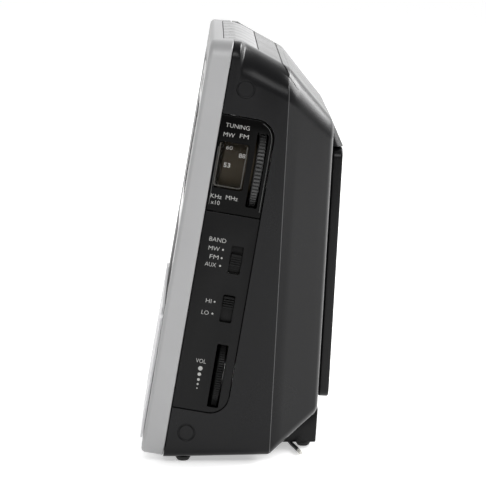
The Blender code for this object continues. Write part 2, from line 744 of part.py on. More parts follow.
def make_battery_hole():
    half = BAY_HALF + BAY_WALL + GAP
    z = (BAY_Z[0] - BAY_WALL - GAP, BAY_Z[1] + BAY_WALL + GAP)
    return box("bay_hole", (-half, half), (-BAY_DEPTH - 5, 5), z, rear, None)


def make_battery_door():
    """The door turns about its lower inner edge, which is where it is placed."""
    low, high = DOOR_B_Z
    at = (0, 1.5, low + 1.2)
    outline = rounded((-DOOR_B_HALF, DOOR_B_HALF), (low - at[2], high - at[2]), (5,) * 4, 4)
    door = prism("battery_door", outline, (0.5 - at[1], DOOR_B_THICK - at[1]), "y", rear,
                 BLACK, at)
    soften(door, 1.0, 2, 50)
    x = (-DOOR_B_HALF + 7, DOOR_B_HALF - 7)
    pocket = box("door_pocket", x, (-3, DOOR_B_THICK - 2.2 - at[1]),
                 (9 - at[2] + low, high - 9 - at[2]), rear, None, at)
    cut(door, pocket)


def make_sockets():
    profile = [(0, -10), (3.9, -10), (3.9, 0.1), (3.4, 0.6), (1.75, 0.6), (1.75, -9), (0, -9)]
    for name, z in SOCKETS.items():
        socket = turned(name, profile, "x", face, BLACK, (-CASE_HALF, SOCKET_Y, z), 20)
        socket.rotation_euler = (0, 0, math.pi)


# ---------------------------------------------------------------- feet


def make_feet():
    front, back, clear = 15.2, 34.6, 0.5
    slope = (REAR_BOTTOM[1] - CREASE_BOTTOM[1]) / (REAR_BOTTOM[0] - CREASE_BOTTOM[0])
    under = [(y, CREASE_BOTTOM[1] + slope * (y - CREASE_BOTTOM[0]) - clear) for y in (back, front)]
    outline = [(front, BLOCK_BOTTOM), (back - 0.1, BLOCK_BOTTOM), (back + 1, 18.0), *under]
    prism("rear_foot_block", outline, (-BLOCK_HALF, BLOCK_HALF), "x", None, BLACK)
    pad = [(0, 0), (2.4, 0), (3.6, FOOT_HEIGHT), (0, FOOT_HEIGHT)]
    for side, suffix in ((-1, "left"), (1, "right")):
        for name, (x, y) in (("front_foot_", FRONT_FOOT), ("rear_foot_", REAR_FOOT)):
            turned(name + suffix, pad, "z", None, RUBBER, (side * x, y, 0), 16)


# ---------------------------------------------------------------- wire aerial


def smooth_path(points, step):
    """Points a step apart along a Catmull-Rom curve through the route's own points."""
    nodes = [Vector(p) for p in points]
    nodes = [2 * nodes[0] - nodes[1], *nodes, 2 * nodes[-1] - nodes[-2]]
    fine = []
    for a, b, c, d in zip(nodes, nodes[1:], nodes[2:], nodes[3:]):
        for i in range(12):
            t = i / 12
            fine.append(0.5 * (2 * b + (c - a) * t + (2 * a - 5 * b + 4 * c - d) * t**2
                               + (3 * b - a - 3 * c + d) * t**3))
    fine.append(nodes[-2])
    lengths = [0.0]
    for a, b in zip(fine, fine[1:]):
        lengths.append(lengths[-1] + (b - a).length)
    count = max(2, round(lengths[-1] / step))
    spaced, at = [], 0
    for i in range(count + 1):
        goal = lengths[-1] * i / count
        while at < len(fine) - 2 and lengths[at + 1] < goal:
            at += 1
        share = (goal - lengths[at]) / (lengths[at + 1] - lengths[at])
        spaced.append(fine[at].lerp(fine[at + 1], share))
    return spaced


def wire(name, route):
    curve = bpy.data.curves.new(name, "CURVE")
    curve.dimensions = "3D"
    curve.bevel_depth = WIRE / 2 * MM
    curve.bevel_resolution = 2
    curve.use_fill_caps = True
    points = smooth_path(route, 2.6 * WIRE)
    spline = curve.splines.new("POLY")
    spline.points.add(len(points) - 1)
    for slot_point, point in zip(spline.points, points):
        slot_point.co = (*(point * MM), 1)
    curve.materials.append(material(name, RUBBER))
    obj = bpy.data.objects.new(name, curve)
    parts.objects.link(obj)


def make_aerial():
    gland = [(0, 0), (3.0, 0), (3.0, 1.2), (1.5, 4.8), (0, 4.8)]
    obj = turned("aerial_gland", gland, "x", None, RUBBER, (GLAND_X, *GLAND_AT), 16)
    obj.rotation_euler = (0, 0, math.pi)
    wire("aerial_lead", LEAD_IN)
    wide, tall = COIL_SECTION
    section_points = rounded((COIL_RADIUS - wide / 2, COIL_RADIUS + wide / 2), (0.05, tall),
                             (1.0,) * 4, 2)
    turned("aerial_coil", section_points, "z", None, RUBBER, (*COIL_CENTRE, 0), 28)
    wire("aerial_free_end", LEAD_OUT)
    end, before = Vector(LEAD_OUT[-1]), Vector(LEAD_OUT[-2])
    tip = turned("aerial_tip", [(0, 0.3), (1.0, 0.3), (1.0, 4.6), (0.6, 5.2), (0, 5.2)], "z",
                 None, RUBBER, end, 12)
    tip.rotation_euler = (end - before).to_track_quat("Z", "Y").to_euler()


def build():
    global parts, cutters, face, rear
    clear_scene()
    parts, cutters = collection("cassette_player"), collection("cutters")
    face, rear = frame("face_frame", FACE_Y, FACE_LEAN), frame("rear_frame", REAR_Y, REAR_LEAN)
    well = box("key_well", (-WELL_HALF, WELL_HALF), WELL_Y, (184, 200), face, None)
    make_bezel(well)
    make_front_cabinet(well, make_side_hole())
    make_rear_cabinet(make_battery_hole())
    make_front_panel()
    make_speaker()
    make_side_panels()
    make_tuner()
    make_volume()
    slide_switch("band_switch", BAND_Z, (-6.2, 9.8))
    slide_switch("level_switch", LEVEL_Z, (-10.0, 9.1))
    make_door()
    make_deck()
    make_heads()
    make_keys()
    make_electronics()
    make_battery_bay()
    make_sockets()
    make_feet()
    make_aerial()


build()
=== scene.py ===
"""Looks of an upright radio cassette player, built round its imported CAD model.

Sizes are in millimetres. Most pieces are made in one of two leaning frames, as the cabinet is:
the face frame (y runs into the cabinet from the front face, z runs up along it) and the rear
frame (y runs out of the rear face, z runs up along it). A mesh is turned into metres last.
"""

import json
import math

import bmesh
import bpy
from mathutils import Matrix, Vector


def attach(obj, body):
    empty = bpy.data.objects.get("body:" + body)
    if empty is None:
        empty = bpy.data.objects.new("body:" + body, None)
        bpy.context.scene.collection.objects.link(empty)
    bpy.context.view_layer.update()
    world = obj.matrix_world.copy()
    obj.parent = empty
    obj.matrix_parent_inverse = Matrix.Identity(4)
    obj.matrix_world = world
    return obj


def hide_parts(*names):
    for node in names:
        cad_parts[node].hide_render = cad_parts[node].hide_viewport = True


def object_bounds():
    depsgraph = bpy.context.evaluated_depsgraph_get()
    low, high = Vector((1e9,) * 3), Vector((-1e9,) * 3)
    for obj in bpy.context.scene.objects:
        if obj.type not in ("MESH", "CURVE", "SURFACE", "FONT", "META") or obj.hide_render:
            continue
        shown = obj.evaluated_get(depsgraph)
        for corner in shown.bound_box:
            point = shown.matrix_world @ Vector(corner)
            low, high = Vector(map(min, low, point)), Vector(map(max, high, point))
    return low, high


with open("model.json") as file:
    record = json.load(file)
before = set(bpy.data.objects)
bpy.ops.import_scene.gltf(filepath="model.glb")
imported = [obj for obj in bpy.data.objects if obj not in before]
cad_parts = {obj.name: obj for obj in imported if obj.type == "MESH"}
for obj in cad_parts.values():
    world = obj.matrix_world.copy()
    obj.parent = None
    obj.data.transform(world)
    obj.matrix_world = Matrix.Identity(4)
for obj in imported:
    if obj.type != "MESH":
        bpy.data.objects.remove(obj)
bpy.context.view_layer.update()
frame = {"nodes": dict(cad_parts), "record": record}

MM = 0.001
GAP = 0.3

# Cabinet, as in the CAD model
HALF_WIDTH = 90.0
CASE_HALF = 89.5
FACE_LEAN = 9.8
FACE_Y = -47.0
REAR_LEAN = 3.18
REAR_Y = 33.61
WALL = 2.5
BEZEL_DEPTH = 10.1
BEZEL_BOTTOM = 4.2
BEZEL_TOP = 194.8
TOP_DRAFT = 0.1
TOP_FALL = 0.34
BEND_DEPTH = 13.0
BEZEL_CORNER = 8.0
BEZEL_FRONT_EDGE = 2.0
OPENING = (80.5, 13.5, 181.0)
CASE_BOTTOM_FRONT_Z = 2.4
FLANGE_DEPTH = 3.6
CREASE_BOTTOM = (12.0, 3.2)
CREASE_TOP = (21.4, 178.8)
REAR_BOTTOM = (34.7, 19.6)
REAR_TOP = (42.1, 153.4)
REAR_HALF = 69.5
TOP_FILLET = 15.0
REAR_FILLET = 10.0
BOTTOM_FILLET = 4.0
SEAM = 0.25  # chamfer on the edges where mouldings meet
SEAM_END = 84.5  # the x at which the top's seam meets the crease
BLADE_TALL = 6.0
CASE_JOINT = 0.06  # the two halves of the case close up to this at the crease

# Side controls and front, in the face frame
PANEL_Y = (10.4, 35.2)
PANEL_Z = (28.2, 163.1)
PANEL_SPLIT = 119.0
PANEL_CORNER = 8.5
PANEL_X = (87.2, 89.2)
SLOT_WIDTH = 5.5
SWITCH_Y = 27.6
WELL_HALF = 71.0
WELL_Y = (5.5, 22.2)
WELL_Z = (184, 200)
DOOR_AXIS = (2.45, 100.4)
SOCKET_RADIUS = 3.9
SIDE_CUT = (80, 95)  # the x over which the right side is cut through
TUNING_SLOT = (123.4, 157.5)
VOLUME_SLOT = (30.9, 60.1)
SWITCH_SLOTS = ((99.0, 6.4), (76.5, 6.3))  # middle and half height
KNOB_Z = {"band_switch_knob": 99.0, "level_switch_knob": 79.5}
SIDE_RINGS = ((1.6, 170.0, 3.85), (-25.4, 14.1, 3.6))  # ground y, z and radius
# Inset and width of the grey line painted round the gloss dial plate as the highlight on its bevel
PLATE_HIGHLIGHT_INSET = 0.82
PLATE_HIGHLIGHT_WIDTH = 0.18
KEY_THICK = 3.6
KEY_DROP = 0.1  # the keys stand this much below the cabinet's top
KEY_STEM = (12, 16)

# Back, in the rear frame
SCREWS = ((-62.5, 36.0), (62.5, 36.0), (-62.5, 128.0), (62.5, 128.0))
RAMP_TOP = 152.4
FOOT_BACK = 34.6  # ground y

# Wire aerial, in the ground frame
WIRE = 1.9
WIRE_FLOOR = 1.0
WIRE_UPPER = 2.92  # centre of the coil's second layer
COIL_CENTRE = (-109.4, 10.0)
COIL_PITCH = 1.95
COIL_TURNS = 5.0  # inward, on the floor
LEAD_IN = (
    (-59.0, 24.0, 6.0), (-62.0, 24.0, 5.8), (-66.0, 23.6, 4.6), (-71.0, 22.6, 2.4),
    (-77.0, 20.8, 1.2), (-84.0, 18.2, WIRE_FLOOR), (-91.3, 12.9, WIRE_FLOOR),
)
LEAD_OUT = (
    (-91.0, 7.6, 1.9), (-90.2, 4.2, WIRE_FLOOR), (-87.0, 1.2, WIRE_FLOOR),
    (-82.0, 0.8, WIRE_FLOOR), (-76.0, 4.0, WIRE_FLOOR), (-67.0, 11.0, WIRE_FLOOR),
    (-55.0, 17.6, WIRE_FLOOR), (-36.0, 21.6, WIRE_FLOOR), (-12.0, 21.0, WIRE_FLOOR),
    (14.0, 20.4, WIRE_FLOOR), (34.0, 21.2, WIRE_FLOOR), (50.0, 23.2, WIRE_FLOOR),
    (60.0, 25.0, WIRE_FLOOR), (67.0, 26.2, WIRE_FLOOR),
)
WIRE_STEP = 0.9

# Camera
AIM = (0.090, 0.0003, 0.1008)
AWAY = 1.28
DOWN = 7.6
ASIDE = 0.64
LENS = 211.1

# Studio: name, place, size and power of each softbox, in metres and watts
LIGHTS = (
    ("overhead", (-0.25, -0.15, 1.5), (1.5, 1.5), 1.5),
    ("front", (0.5, -1.6, 0.9), (1.0, 1.0), 1.5),
    ("far side", (-2.2, 0.5, 0.75), (3.2, 1.4), 6),
    ("far high", (-1.6, 0.1, 1.75), (2.0, 0.9), 4),
    ("rear corner", (-0.75, 1.41, 0.95), (1.3, 0.8), 36),
    ("over the controls", (1.5, 0.0, 1.05), (1.3, 0.6), 13),
)
LIT_POINT = (0, 0, 0.1)
WORLD_LIGHT = (1.0, 0.16)  # strength from behind the player, and from the controls' side
FLOOR_GLOW = 0.46


def leaning(y, lean):
    """A frame that leans back, from millimetres in it to metres in the model's frame."""
    turn = Matrix.Rotation(math.radians(-lean), 4, "X")
    return Matrix.Translation((0, y * MM, 0)) @ turn @ Matrix.Scale(MM, 4)


GROUND = Matrix.Scale(MM, 4)
FACE = leaning(FACE_Y, FACE_LEAN)
REAR = leaning(REAR_Y, REAR_LEAN)


def extent(node, place=GROUND):
    """Lowest and highest corners of a CAD node, in a frame's millimetres."""
    back = place.inverted()
    points = [back @ v.co for v in frame["nodes"][node].data.vertices]
    low = Vector([min(p[i] for p in points) for i in range(3)])
    return low, Vector([max(p[i] for p in points) for i in range(3)])


# ---- materials


def noise(nodes, links, vector, scale, detail):
    """The output of a noise texture."""
    texture = nodes.new("ShaderNodeTexNoise")
    texture.inputs["Scale"].default_value = scale
    texture.inputs["Detail"].default_value = detail
    links.new(vector, texture.inputs["Vector"])
    return texture.outputs["Fac"]


def drift(nodes, links, source, colour, tint):
    """The output of a ramp that a noise takes a little to either side of a colour."""
    ramp = nodes.new("ShaderNodeValToRGB")
    changes = zip(ramp.color_ramp.elements, (0.4, 0.95), (1 - tint, 1 + tint))
    for element, position, change in changes:
        element.position = position
        element.color = (*[min(c * change, 1) for c in colour], 1)
    links.new(source, ramp.inputs["Fac"])
    return ramp.outputs["Color"]


def finish(name, colour, roughness, metallic=0.0, specular=0.5, grain=2200, depth=0.012,
           tint=0.1, stretch=(1, 1, 1), alpha=1.0, worn=0.05):
    """A material whose colour drifts, whose surface has a grain, and whose roughness is uneven.
    depth is the grain's in millimetres; stretch draws the grain out into brush marks."""
    made = bpy.data.materials.new(name)
    made.use_nodes = True
    nodes, links = made.node_tree.nodes, made.node_tree.links
    shader = nodes["Principled BSDF"]
    for entry, value in (("Metallic", metallic), ("Specular IOR Level", specular), ("Alpha", alpha)):
        shader.inputs[entry].default_value = value
    place = nodes.new("ShaderNodeTexCoord")
    mapping = nodes.new("ShaderNodeMapping")
    mapping.inputs["Scale"].default_value = stretch
    links.new(place.outputs["Object"], mapping.inputs["Vector"])
    fine = noise(nodes, links, mapping.outputs["Vector"], grain, 3)
    broad = noise(nodes, links, place.outputs["Object"], 22, 4)
    both = nodes.new("ShaderNodeMath")
    both.operation = "MULTIPLY_ADD"
    both.inputs[1].default_value = 0.35
    links.new(fine, both.inputs[0])
    links.new(broad, both.inputs[2])
    drifting = drift(nodes, links, both.outputs["Value"], colour, tint)
    links.new(drifting, shader.inputs["Base Color"])
    uneven = nodes.new("ShaderNodeMapRange")
    uneven.inputs["To Min"].default_value = max(roughness - worn, 0.02)
    uneven.inputs["To Max"].default_value = min(roughness + worn, 1)
    links.new(both.outputs["Value"], uneven.inputs["Value"])
    links.new(uneven.outputs["Result"], shader.inputs["Roughness"])
    bump = nodes.new("ShaderNodeBump")
    bump.inputs["Distance"].default_value = depth * MM
    bump.inputs["Strength"].default_value = 1.0
    links.new(fine, bump.inputs["Height"])
    links.new(bump.outputs["Normal"], shader.inputs["Normal"])
    return made


def ink(name, colour, roughness, tint):
    """A thin printed film."""
    return finish(name, colour, roughness, 0, 0.3, 3000, 0.002, tint)


LOOKS = {
    "silver_plastic": finish("silver paint", (0.33, 0.33, 0.333), 0.48, 0.35, 0.5, 5200, 0.004,
                             0.07),
    "black_plastic": finish("moulded black", (0.0045, 0.0045, 0.005), 0.24, 0, 0.19, 2200, 0.010,
                            0.22),
    "gloss_black": finish("gloss black", (0.003, 0.003, 0.003), 0.14, 0, 0.06, 900, 0.0015,
                          0.2, worn=0.03),
    "clear_window": finish("smoked window", (0.012, 0.010, 0.007), 0.08, 0, 0.12, 700, 0.001, 0.1,
                           alpha=0.22, worn=0.03),
    "rubber": finish("rubber", (0.016, 0.016, 0.016), 0.72, 0, 0.3, 1500, 0.02, 0.2),
    "wire": finish("wire insulation", (0.014, 0.014, 0.015), 0.45, 0, 0.4, 1800, 0.006, 0.15),
    "grille_metal": finish("painted mesh", (0.60, 0.60, 0.61), 0.36, 0.5, 0.5, 3500, 0.006, 0.08),
    "steel": finish("brushed steel", (0.55, 0.55, 0.54), 0.34, 1, 0.5, 2400, 0.006, 0.12,
                    (0.06, 1, 1)),
    "brass": finish("turned brass", (0.66, 0.5, 0.23), 0.3, 1, 0.5, 2600, 0.005, 0.12,
                    (1, 0.1, 1)),
    "white_plastic": finish("white moulding", (0.66, 0.65, 0.61), 0.45, 0, 0.5, 1800, 0.01, 0.05),
    "dial_print": finish("dial print", (0.040, 0.030, 0.016), 0.5, 0, 0.2, 1800, 0.006, 0.15),
    "board": finish("circuit board", (0.17, 0.22, 0.06), 0.5, 0, 0.5, 1300, 0.02, 0.2),
    "cone_paper": finish("cone paper", (0.03, 0.03, 0.032), 0.9, 0, 0.3, 2600, 0.05, 0.3),
}
LEGEND = ink("legend ink", (0.36, 0.36, 0.35), 0.6, 0.06)
SCALE_INK = ink("scale ink", (0.95, 0.94, 0.9), 0.6, 0.04)
MARK = ink("key mark ink", (0.24, 0.24, 0.24), 0.5, 0.15)
# Light grey painted highlight along the dial window's edges
PAINTED_WINDOW_HIGHLIGHT = finish("painted window highlight", (0.16, 0.155, 0.14), 0.3, 0, 0.5, 1800, 0.003, 0.08)
# Grey painted highlight: the line along the gloss dial plate's bevel
PAINTED_PLATE_HIGHLIGHT = finish("painted plate highlight", (0.085, 0.085, 0.083), 0.3, 0, 0.4, 1800, 0.003, 0.1)
# Lighter grey painted highlight for the chamfer where the rear case meets the front case at the
# crease
PAINTED_SEAM_HIGHLIGHT = finish("painted seam highlight", (0.055, 0.055, 0.056), 0.3, 0, 0.5, 1500, 0.004, 0.1)
DARK_SATIN = finish("control strip", (0.005, 0.005, 0.0052), 0.34, 0, 0.14, 2000, 0.008, 0.2)
WHEEL_GREY = finish("wheel grey", (0.03, 0.03, 0.03), 0.4, 0, 0.35, 2000, 0.008, 0.2)
KNOB_BLACK = finish("knob black", (0.004, 0.004, 0.004), 0.38, 0, 0.14, 2000, 0.006, 0.2)


# ---- mesh tools


def linked(name, data):
    """A new object in the scene."""
    obj = bpy.data.objects.new(name, data)
    bpy.context.scene.collection.objects.link(obj)
    return obj


def baked(obj):
    """The mesh that an object comes to, with its modifiers or curve settings applied."""
    bpy.context.view_layer.update()
    evaluated = obj.evaluated_get(bpy.context.evaluated_depsgraph_get())
    return bpy.data.meshes.new_from_object(evaluated)


def solid(name, bm, place, look, angle=32):
    """An object from a bmesh in a frame's millimetres, shaded smooth up to an angle."""
    bm.transform(place)
    bmesh.ops.recalc_face_normals(bm, faces=bm.faces)
    mesh = bpy.data.meshes.new(name)
    bm.to_mesh(mesh)
    bm.free()
    obj = linked(name, mesh)
    mesh.materials.append(look)
    shade(obj, angle)
    return obj


def shade(obj, angle=32):
    """Smooth shading, sharp at edges past an angle."""
    obj.data.shade_smooth()
    obj.data.set_sharp_from_angle(angle=math.radians(angle))


def piece(obj, body, slot, *nodes):
    """A finished piece: what it rides on and the CAD nodes that it stands for; its slot is not used.
    """
    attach(obj, body)
    if nodes:
        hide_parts(*nodes)
    return obj


def combine(obj, operation, tools, angle=32):
    """A Boolean with each tool, applied at once; the tools are used up."""
    for shape in tools:
        modifier = obj.modifiers.new("boolean", "BOOLEAN")
        modifier.operation = operation
        modifier.object = shape
        modifier.solver = "EXACT"
    made = baked(obj)
    obj.modifiers.clear()
    old = obj.data
    obj.data = made
    bpy.data.meshes.remove(old)
    for shape in tools:
        bpy.data.objects.remove(shape)
    shade(obj, angle)
    return obj


def cut(obj, *tools):
    """Takes shapes away from an object."""
    return combine(obj, "DIFFERENCE", tools)


def join(obj, *tools):
    """Fuses shapes to an object."""
    return combine(obj, "UNION", tools)


def cutter(bm, place):
    """A shape that cuts, in a frame's millimetres; its own look is never seen."""
    return solid("tool", bm, place, MARK)


def placed(name, bm, place, slot, body, *nodes):
    """A piece straight from a bmesh, in the look of its own slot."""
    return piece(solid(name, bm, place, LOOKS[slot]), body, slot, *nodes)


def add(bm, part):
    """Adds one bmesh to another and frees it."""
    mesh = bpy.data.meshes.new("part")
    part.to_mesh(mesh)
    part.free()
    bm.from_mesh(mesh)
    bpy.data.meshes.remove(mesh)


def round_edges(bm, width, segments=3, angle=50):
    """Rounds the edges that are sharper than an angle."""
    limit = math.radians(angle)
    sharp = [e for e in bm.edges if e.is_manifold and e.calc_face_angle(0) > limit]
    bmesh.ops.bevel(bm, geom=sharp, offset=width, segments=segments, profile=0.5,
                    affect="EDGES", clamp_overlap=True)
    return bm


def block(x, y, z, edge=0.3, segments=3):
    """A box from (low, high) pairs with rounded edges."""
    bm = bmesh.new()
    bmesh.ops.create_cube(bm, size=1)
    bmesh.ops.scale(bm, vec=[b - a for a, b in (x, y, z)], verts=bm.verts)
    bmesh.ops.translate(bm, vec=[(a + b) / 2 for a, b in (x, y, z)], verts=bm.verts)
    return round_edges(bm, edge, segments) if edge else bm


def arc(centre, radius, start, end, steps):
    """Points on an arc, between two angles in degrees."""
    for i in range(steps + 1):
        angle = math.radians(start + (end - start) * i / steps)
        yield (centre[0] + radius * math.cos(angle), centre[1] + radius * math.sin(angle))


def quarter(steps):
    """The sine and cosine at each step of a quarter turn."""
    for i in range(steps + 1):
        turn = math.radians(90 * i / steps)
        yield math.sin(turn), math.cos(turn)


def rounded(a, b, radii, steps=8):
    """A rectangle with the radii of its corners (low low, high low, high high, low high)."""
    points = []
    corners = ((a[0], b[0], 1, 1), (a[1], b[0], -1, 1), (a[1], b[1], -1, -1), (a[0], b[1], 1, -1))
    for i, ((p, q, sp, sq), radius) in enumerate(zip(corners, radii)):
        if radius == 0:
            points.append((p, q))
        else:
            centre = (p + sp * radius, q + sq * radius)
            points.extend(arc(centre, radius, 180 + 90 * i, 270 + 90 * i, steps))
    return points


def around(low, high, axis, grow, radius, steps=8):
    """A rounded rectangle round a box, seen along x or y and drawn out or in by an amount."""
    first = 1 if axis == "x" else 0
    return rounded((low[first] - grow, high[first] + grow), (low.z - grow, high.z + grow),
                   (radius,) * 4, steps)


AXES = {"x": (2, 0, 1), "y": (0, 2, 1), "z": (0, 1, 2)}


def prism(outline, span, axis, edge=0.0, segments=3):
    """An outline in the plane across an axis, extruded along it, with rounded rims."""
    bm = bmesh.new()
    order = AXES[axis]
    rows = []
    for level in span:
        points = [(*point, level) for point in outline]
        rows.append([bm.verts.new([p[i] for i in order]) for p in points])
    bm.faces.new(rows[0])
    bm.faces.new(rows[1])
    for i, vert in enumerate(rows[0]):
        j = (i + 1) % len(outline)
        bm.faces.new((vert, rows[0][j], rows[1][j], rows[1][i]))
    bmesh.ops.recalc_face_normals(bm, faces=bm.faces)
    return round_edges(bm, edge, segments) if edge else bm


def loft(rings, ends="caps"):
    """A body through rings of equal length: capped at both ends, or joined end to end."""
    bm = bmesh.new()
    rows = [[bm.verts.new(point) for point in ring] for ring in rings]
    count = len(rows[0])
    following = rows[1:] + rows[:1] if ends == "loop" else rows[1:]
    for row, after in zip(rows, following):
        for i in range(count):
            j = (i + 1) % count
            bm.faces.new((row[i], row[j], after[j], after[i]))
    if ends == "caps":
        bm.faces.new(rows[0])
        bm.faces.new(rows[-1])
    return bm


TURN_TO = {
    "x": Matrix.Rotation(math.pi / 2, 3, "Y"),
    "y": Matrix.Rotation(-math.pi / 2, 3, "X"),
    "z": Matrix.Identity(3),
}


def lathe(profile, axis, at=(0, 0, 0), sides=48):
    """A turned solid from (radius, height) points: from the axis to the axis, or a closed loop."""
    bm = bmesh.new()
    columns = []
    for i in range(sides):
        turn = 2 * math.pi * i / sides
        column = []
        for radius, height in profile:
            column.append(bm.verts.new((radius * math.cos(turn), radius * math.sin(turn), height)))
        columns.append(column)
    closed = profile[0][0] > 0
    steps = range(len(profile)) if closed else range(len(profile) - 1)
    for one, two in zip(columns, columns[1:] + columns[:1]):
        for i in steps:
            j = (i + 1) % len(profile)
            bm.faces.new((one[i], one[j], two[j], two[i]))
    bmesh.ops.remove_doubles(bm, verts=bm.verts, dist=0.0001)
    bmesh.ops.rotate(bm, matrix=TURN_TO[axis], verts=bm.verts)
    bmesh.ops.translate(bm, vec=at, verts=bm.verts)
    return bm


def rod(radius, span, axis, at=(0, 0, 0), sides=40):
    """A plain cylinder."""
    return lathe([(0, span[0]), (radius, span[0]), (radius, span[1]), (0, span[1])], axis, at,
                 sides)


def section(half, bottom, top, radii, inset=0.0, steps=(8, 14)):
    """A rounded section between a bottom and a top point, both (y, z)."""
    low, high = Vector(bottom), Vector(top)
    up = (high - low).normalized()
    low, tall = low + up * inset, (high - low).length - 2 * inset
    half = half - inset
    lower, upper = (max(radius - inset, 0.6) for radius in radii)
    ring = list(arc((half - lower, lower), lower, -90, 0, steps[0]))
    ring += list(arc((half - upper, tall - upper), upper, 0, 90, steps[1]))
    ring += list(arc((-half + upper, tall - upper), upper, 90, 180, steps[1]))
    ring += list(arc((-half + lower, lower), lower, 180, 270, steps[0]))
    return [Vector((x, low.x + up.x * v, low.y + up.y * v)) for x, v in ring]


def face_point(y, z):
    """A face-frame (y, z) in the ground frame."""
    lean = math.radians(FACE_LEAN)
    return (
        FACE_Y + y * math.cos(lean) + z * math.sin(lean),
        -y * math.sin(lean) + z * math.cos(lean),
    )


def face_height(y, ground_z):
    """The face-frame z at which depth y reaches a ground height."""
    lean = math.radians(FACE_LEAN)
    return (ground_z + y * math.sin(lean)) / math.cos(lean)


def top_at(y):
    """The height of the top at a depth, in the face frame."""
    return BEZEL_TOP + TOP_DRAFT * min(y, BEND_DEPTH) - TOP_FALL * max(y - BEND_DEPTH, 0)


# ---- camera and studio


def make_camera():
    """A long lens, almost straight on to the controls and a little above them."""
    data = bpy.data.cameras.new("camera")
    data.lens = LENS
    data.sensor_width = 36
    data.clip_start = 0.05
    camera = linked("camera", data)
    down, aside = math.radians(DOWN), math.radians(ASIDE)
    ahead = Vector((-math.cos(down) * math.cos(aside), math.cos(down) * math.sin(aside),
                    -math.sin(down)))
    camera.location = Vector(AIM) - ahead * AWAY
    camera.rotation_euler = ahead.to_track_quat("-Z", "Y").to_euler()
    bpy.context.scene.camera = camera


def area_light(name, place, size, power):
    """A softbox that faces the middle of the player."""
    data = bpy.data.lights.new(name, "AREA")
    data.shape = "RECTANGLE"
    data.size, data.size_y = size
    data.energy = power
    light = linked(name, data)
    light.location = place
    light.visible_camera = False
    aim = Vector(LIT_POINT) - Vector(place)
    light.rotation_euler = aim.to_track_quat("-Z", "Y").to_euler()


def make_world():
    """Soft light from all round, dimmer from the controls' side."""
    world = bpy.data.worlds.new("studio")
    bpy.context.scene.world = world
    world.use_nodes = True
    nodes, links = world.node_tree.nodes, world.node_tree.links
    place = nodes.new("ShaderNodeTexCoord")
    split = nodes.new("ShaderNodeSeparateXYZ")
    links.new(place.outputs["Generated"], split.inputs["Vector"])
    ramp = nodes.new("ShaderNodeMapRange")
    ramp.inputs["From Min"].default_value = -1.0
    ramp.inputs["From Max"].default_value = 1.0
    ramp.inputs["To Min"].default_value = WORLD_LIGHT[0]
    ramp.inputs["To Max"].default_value = WORLD_LIGHT[1]
    links.new(split.outputs["X"], ramp.inputs["Value"])
    links.new(ramp.outputs["Result"], nodes["Background"].inputs["Strength"])
    nodes["Background"].inputs["Color"].default_value = (1.0, 1.0, 1.0, 1)


def make_floor():
    """A plain pale floor that also glows a little, so that shadows stay soft."""
    bm = bmesh.new()
    bmesh.ops.create_grid(bm, x_segments=1, y_segments=1, size=16000)
    look = finish("floor", (0.9, 0.9, 0.9), 0.9, 0, 0.1, 60, 0.05, 0.01)
    glow = look.node_tree.nodes["Principled BSDF"]
    glow.inputs["Emission Color"].default_value = (1, 1, 1, 1)
    glow.inputs["Emission Strength"].default_value = FLOOR_GLOW
    floor = solid("floor", bm, GROUND, look)
    floor.location = (0, 0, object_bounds()[0].z - 0.0002)


def make_studio():
    """A white sweep under softboxes."""
    bpy.context.scene.view_settings.view_transform = "Standard"
    make_world()
    make_floor()
    for name, place, size, power in LIGHTS:
        area_light(name, place, size, power)


# ---- wire aerial


def smooth_path(points, step):
    """Points a step apart along a Catmull-Rom curve through the route's own points."""
    nodes = [Vector(p) for p in points]
    nodes = [2 * nodes[0] - nodes[1], *nodes, 2 * nodes[-1] - nodes[-2]]
    fine = []
    for a, b, c, d in zip(nodes, nodes[1:], nodes[2:], nodes[3:]):
        for i in range(12):
            t = i / 12
            fine.append(0.5 * (2 * b + (c - a) * t + (2 * a - 5 * b + 4 * c - d) * t**2
                               + (3 * b - a - 3 * c + d) * t**3))
    fine.append(nodes[-2])
    lengths = [0.0]
    for a, b in zip(fine, fine[1:]):
        lengths.append(lengths[-1] + (b - a).length)
    count = max(2, round(lengths[-1] / step))
    spaced, at = [], 0
    for i in range(count + 1):
        goal = lengths[-1] * i / count
        while at < len(fine) - 2 and lengths[at + 1] < goal:
            at += 1
        share = (goal - lengths[at]) / (lengths[at + 1] - lengths[at])
        spaced.append(fine[at].lerp(fine[at + 1], share))
    return spaced


def around_coil(angle, radius, z):
    """A point of the coil."""
    turn = math.radians(angle)
    x, y = COIL_CENTRE
    return (x + radius * math.cos(turn), y + radius * math.sin(turn), z)


def coil_points():
    """Inward on the floor, once round while it climbs, then outward on top and off the edge."""
    widest, start, per_turn = 15.875, -5.0, 24
    narrowest = widest - COIL_PITCH * COIL_TURNS
    outward = 4.87
    climb = 0.25
    points = []
    for i in range(int((COIL_TURNS + 1 + outward) * per_turn) + 1):
        turns = i / per_turn
        if turns <= COIL_TURNS:
            radius, z = widest - COIL_PITCH * turns, WIRE_FLOOR
        else:
            share = min((turns - COIL_TURNS) / climb, 1)
            z = WIRE_FLOOR + (WIRE_UPPER - WIRE_FLOOR) * share * share * (3 - 2 * share)
            radius = narrowest + COIL_PITCH * max(turns - COIL_TURNS - 1, 0)
        points.append(around_coil(start - 360 * turns, radius, z))
    points.append(around_coil(20, 16.2, 2.95))
    points.append(around_coil(5, 17.2, 2.95))
    return points


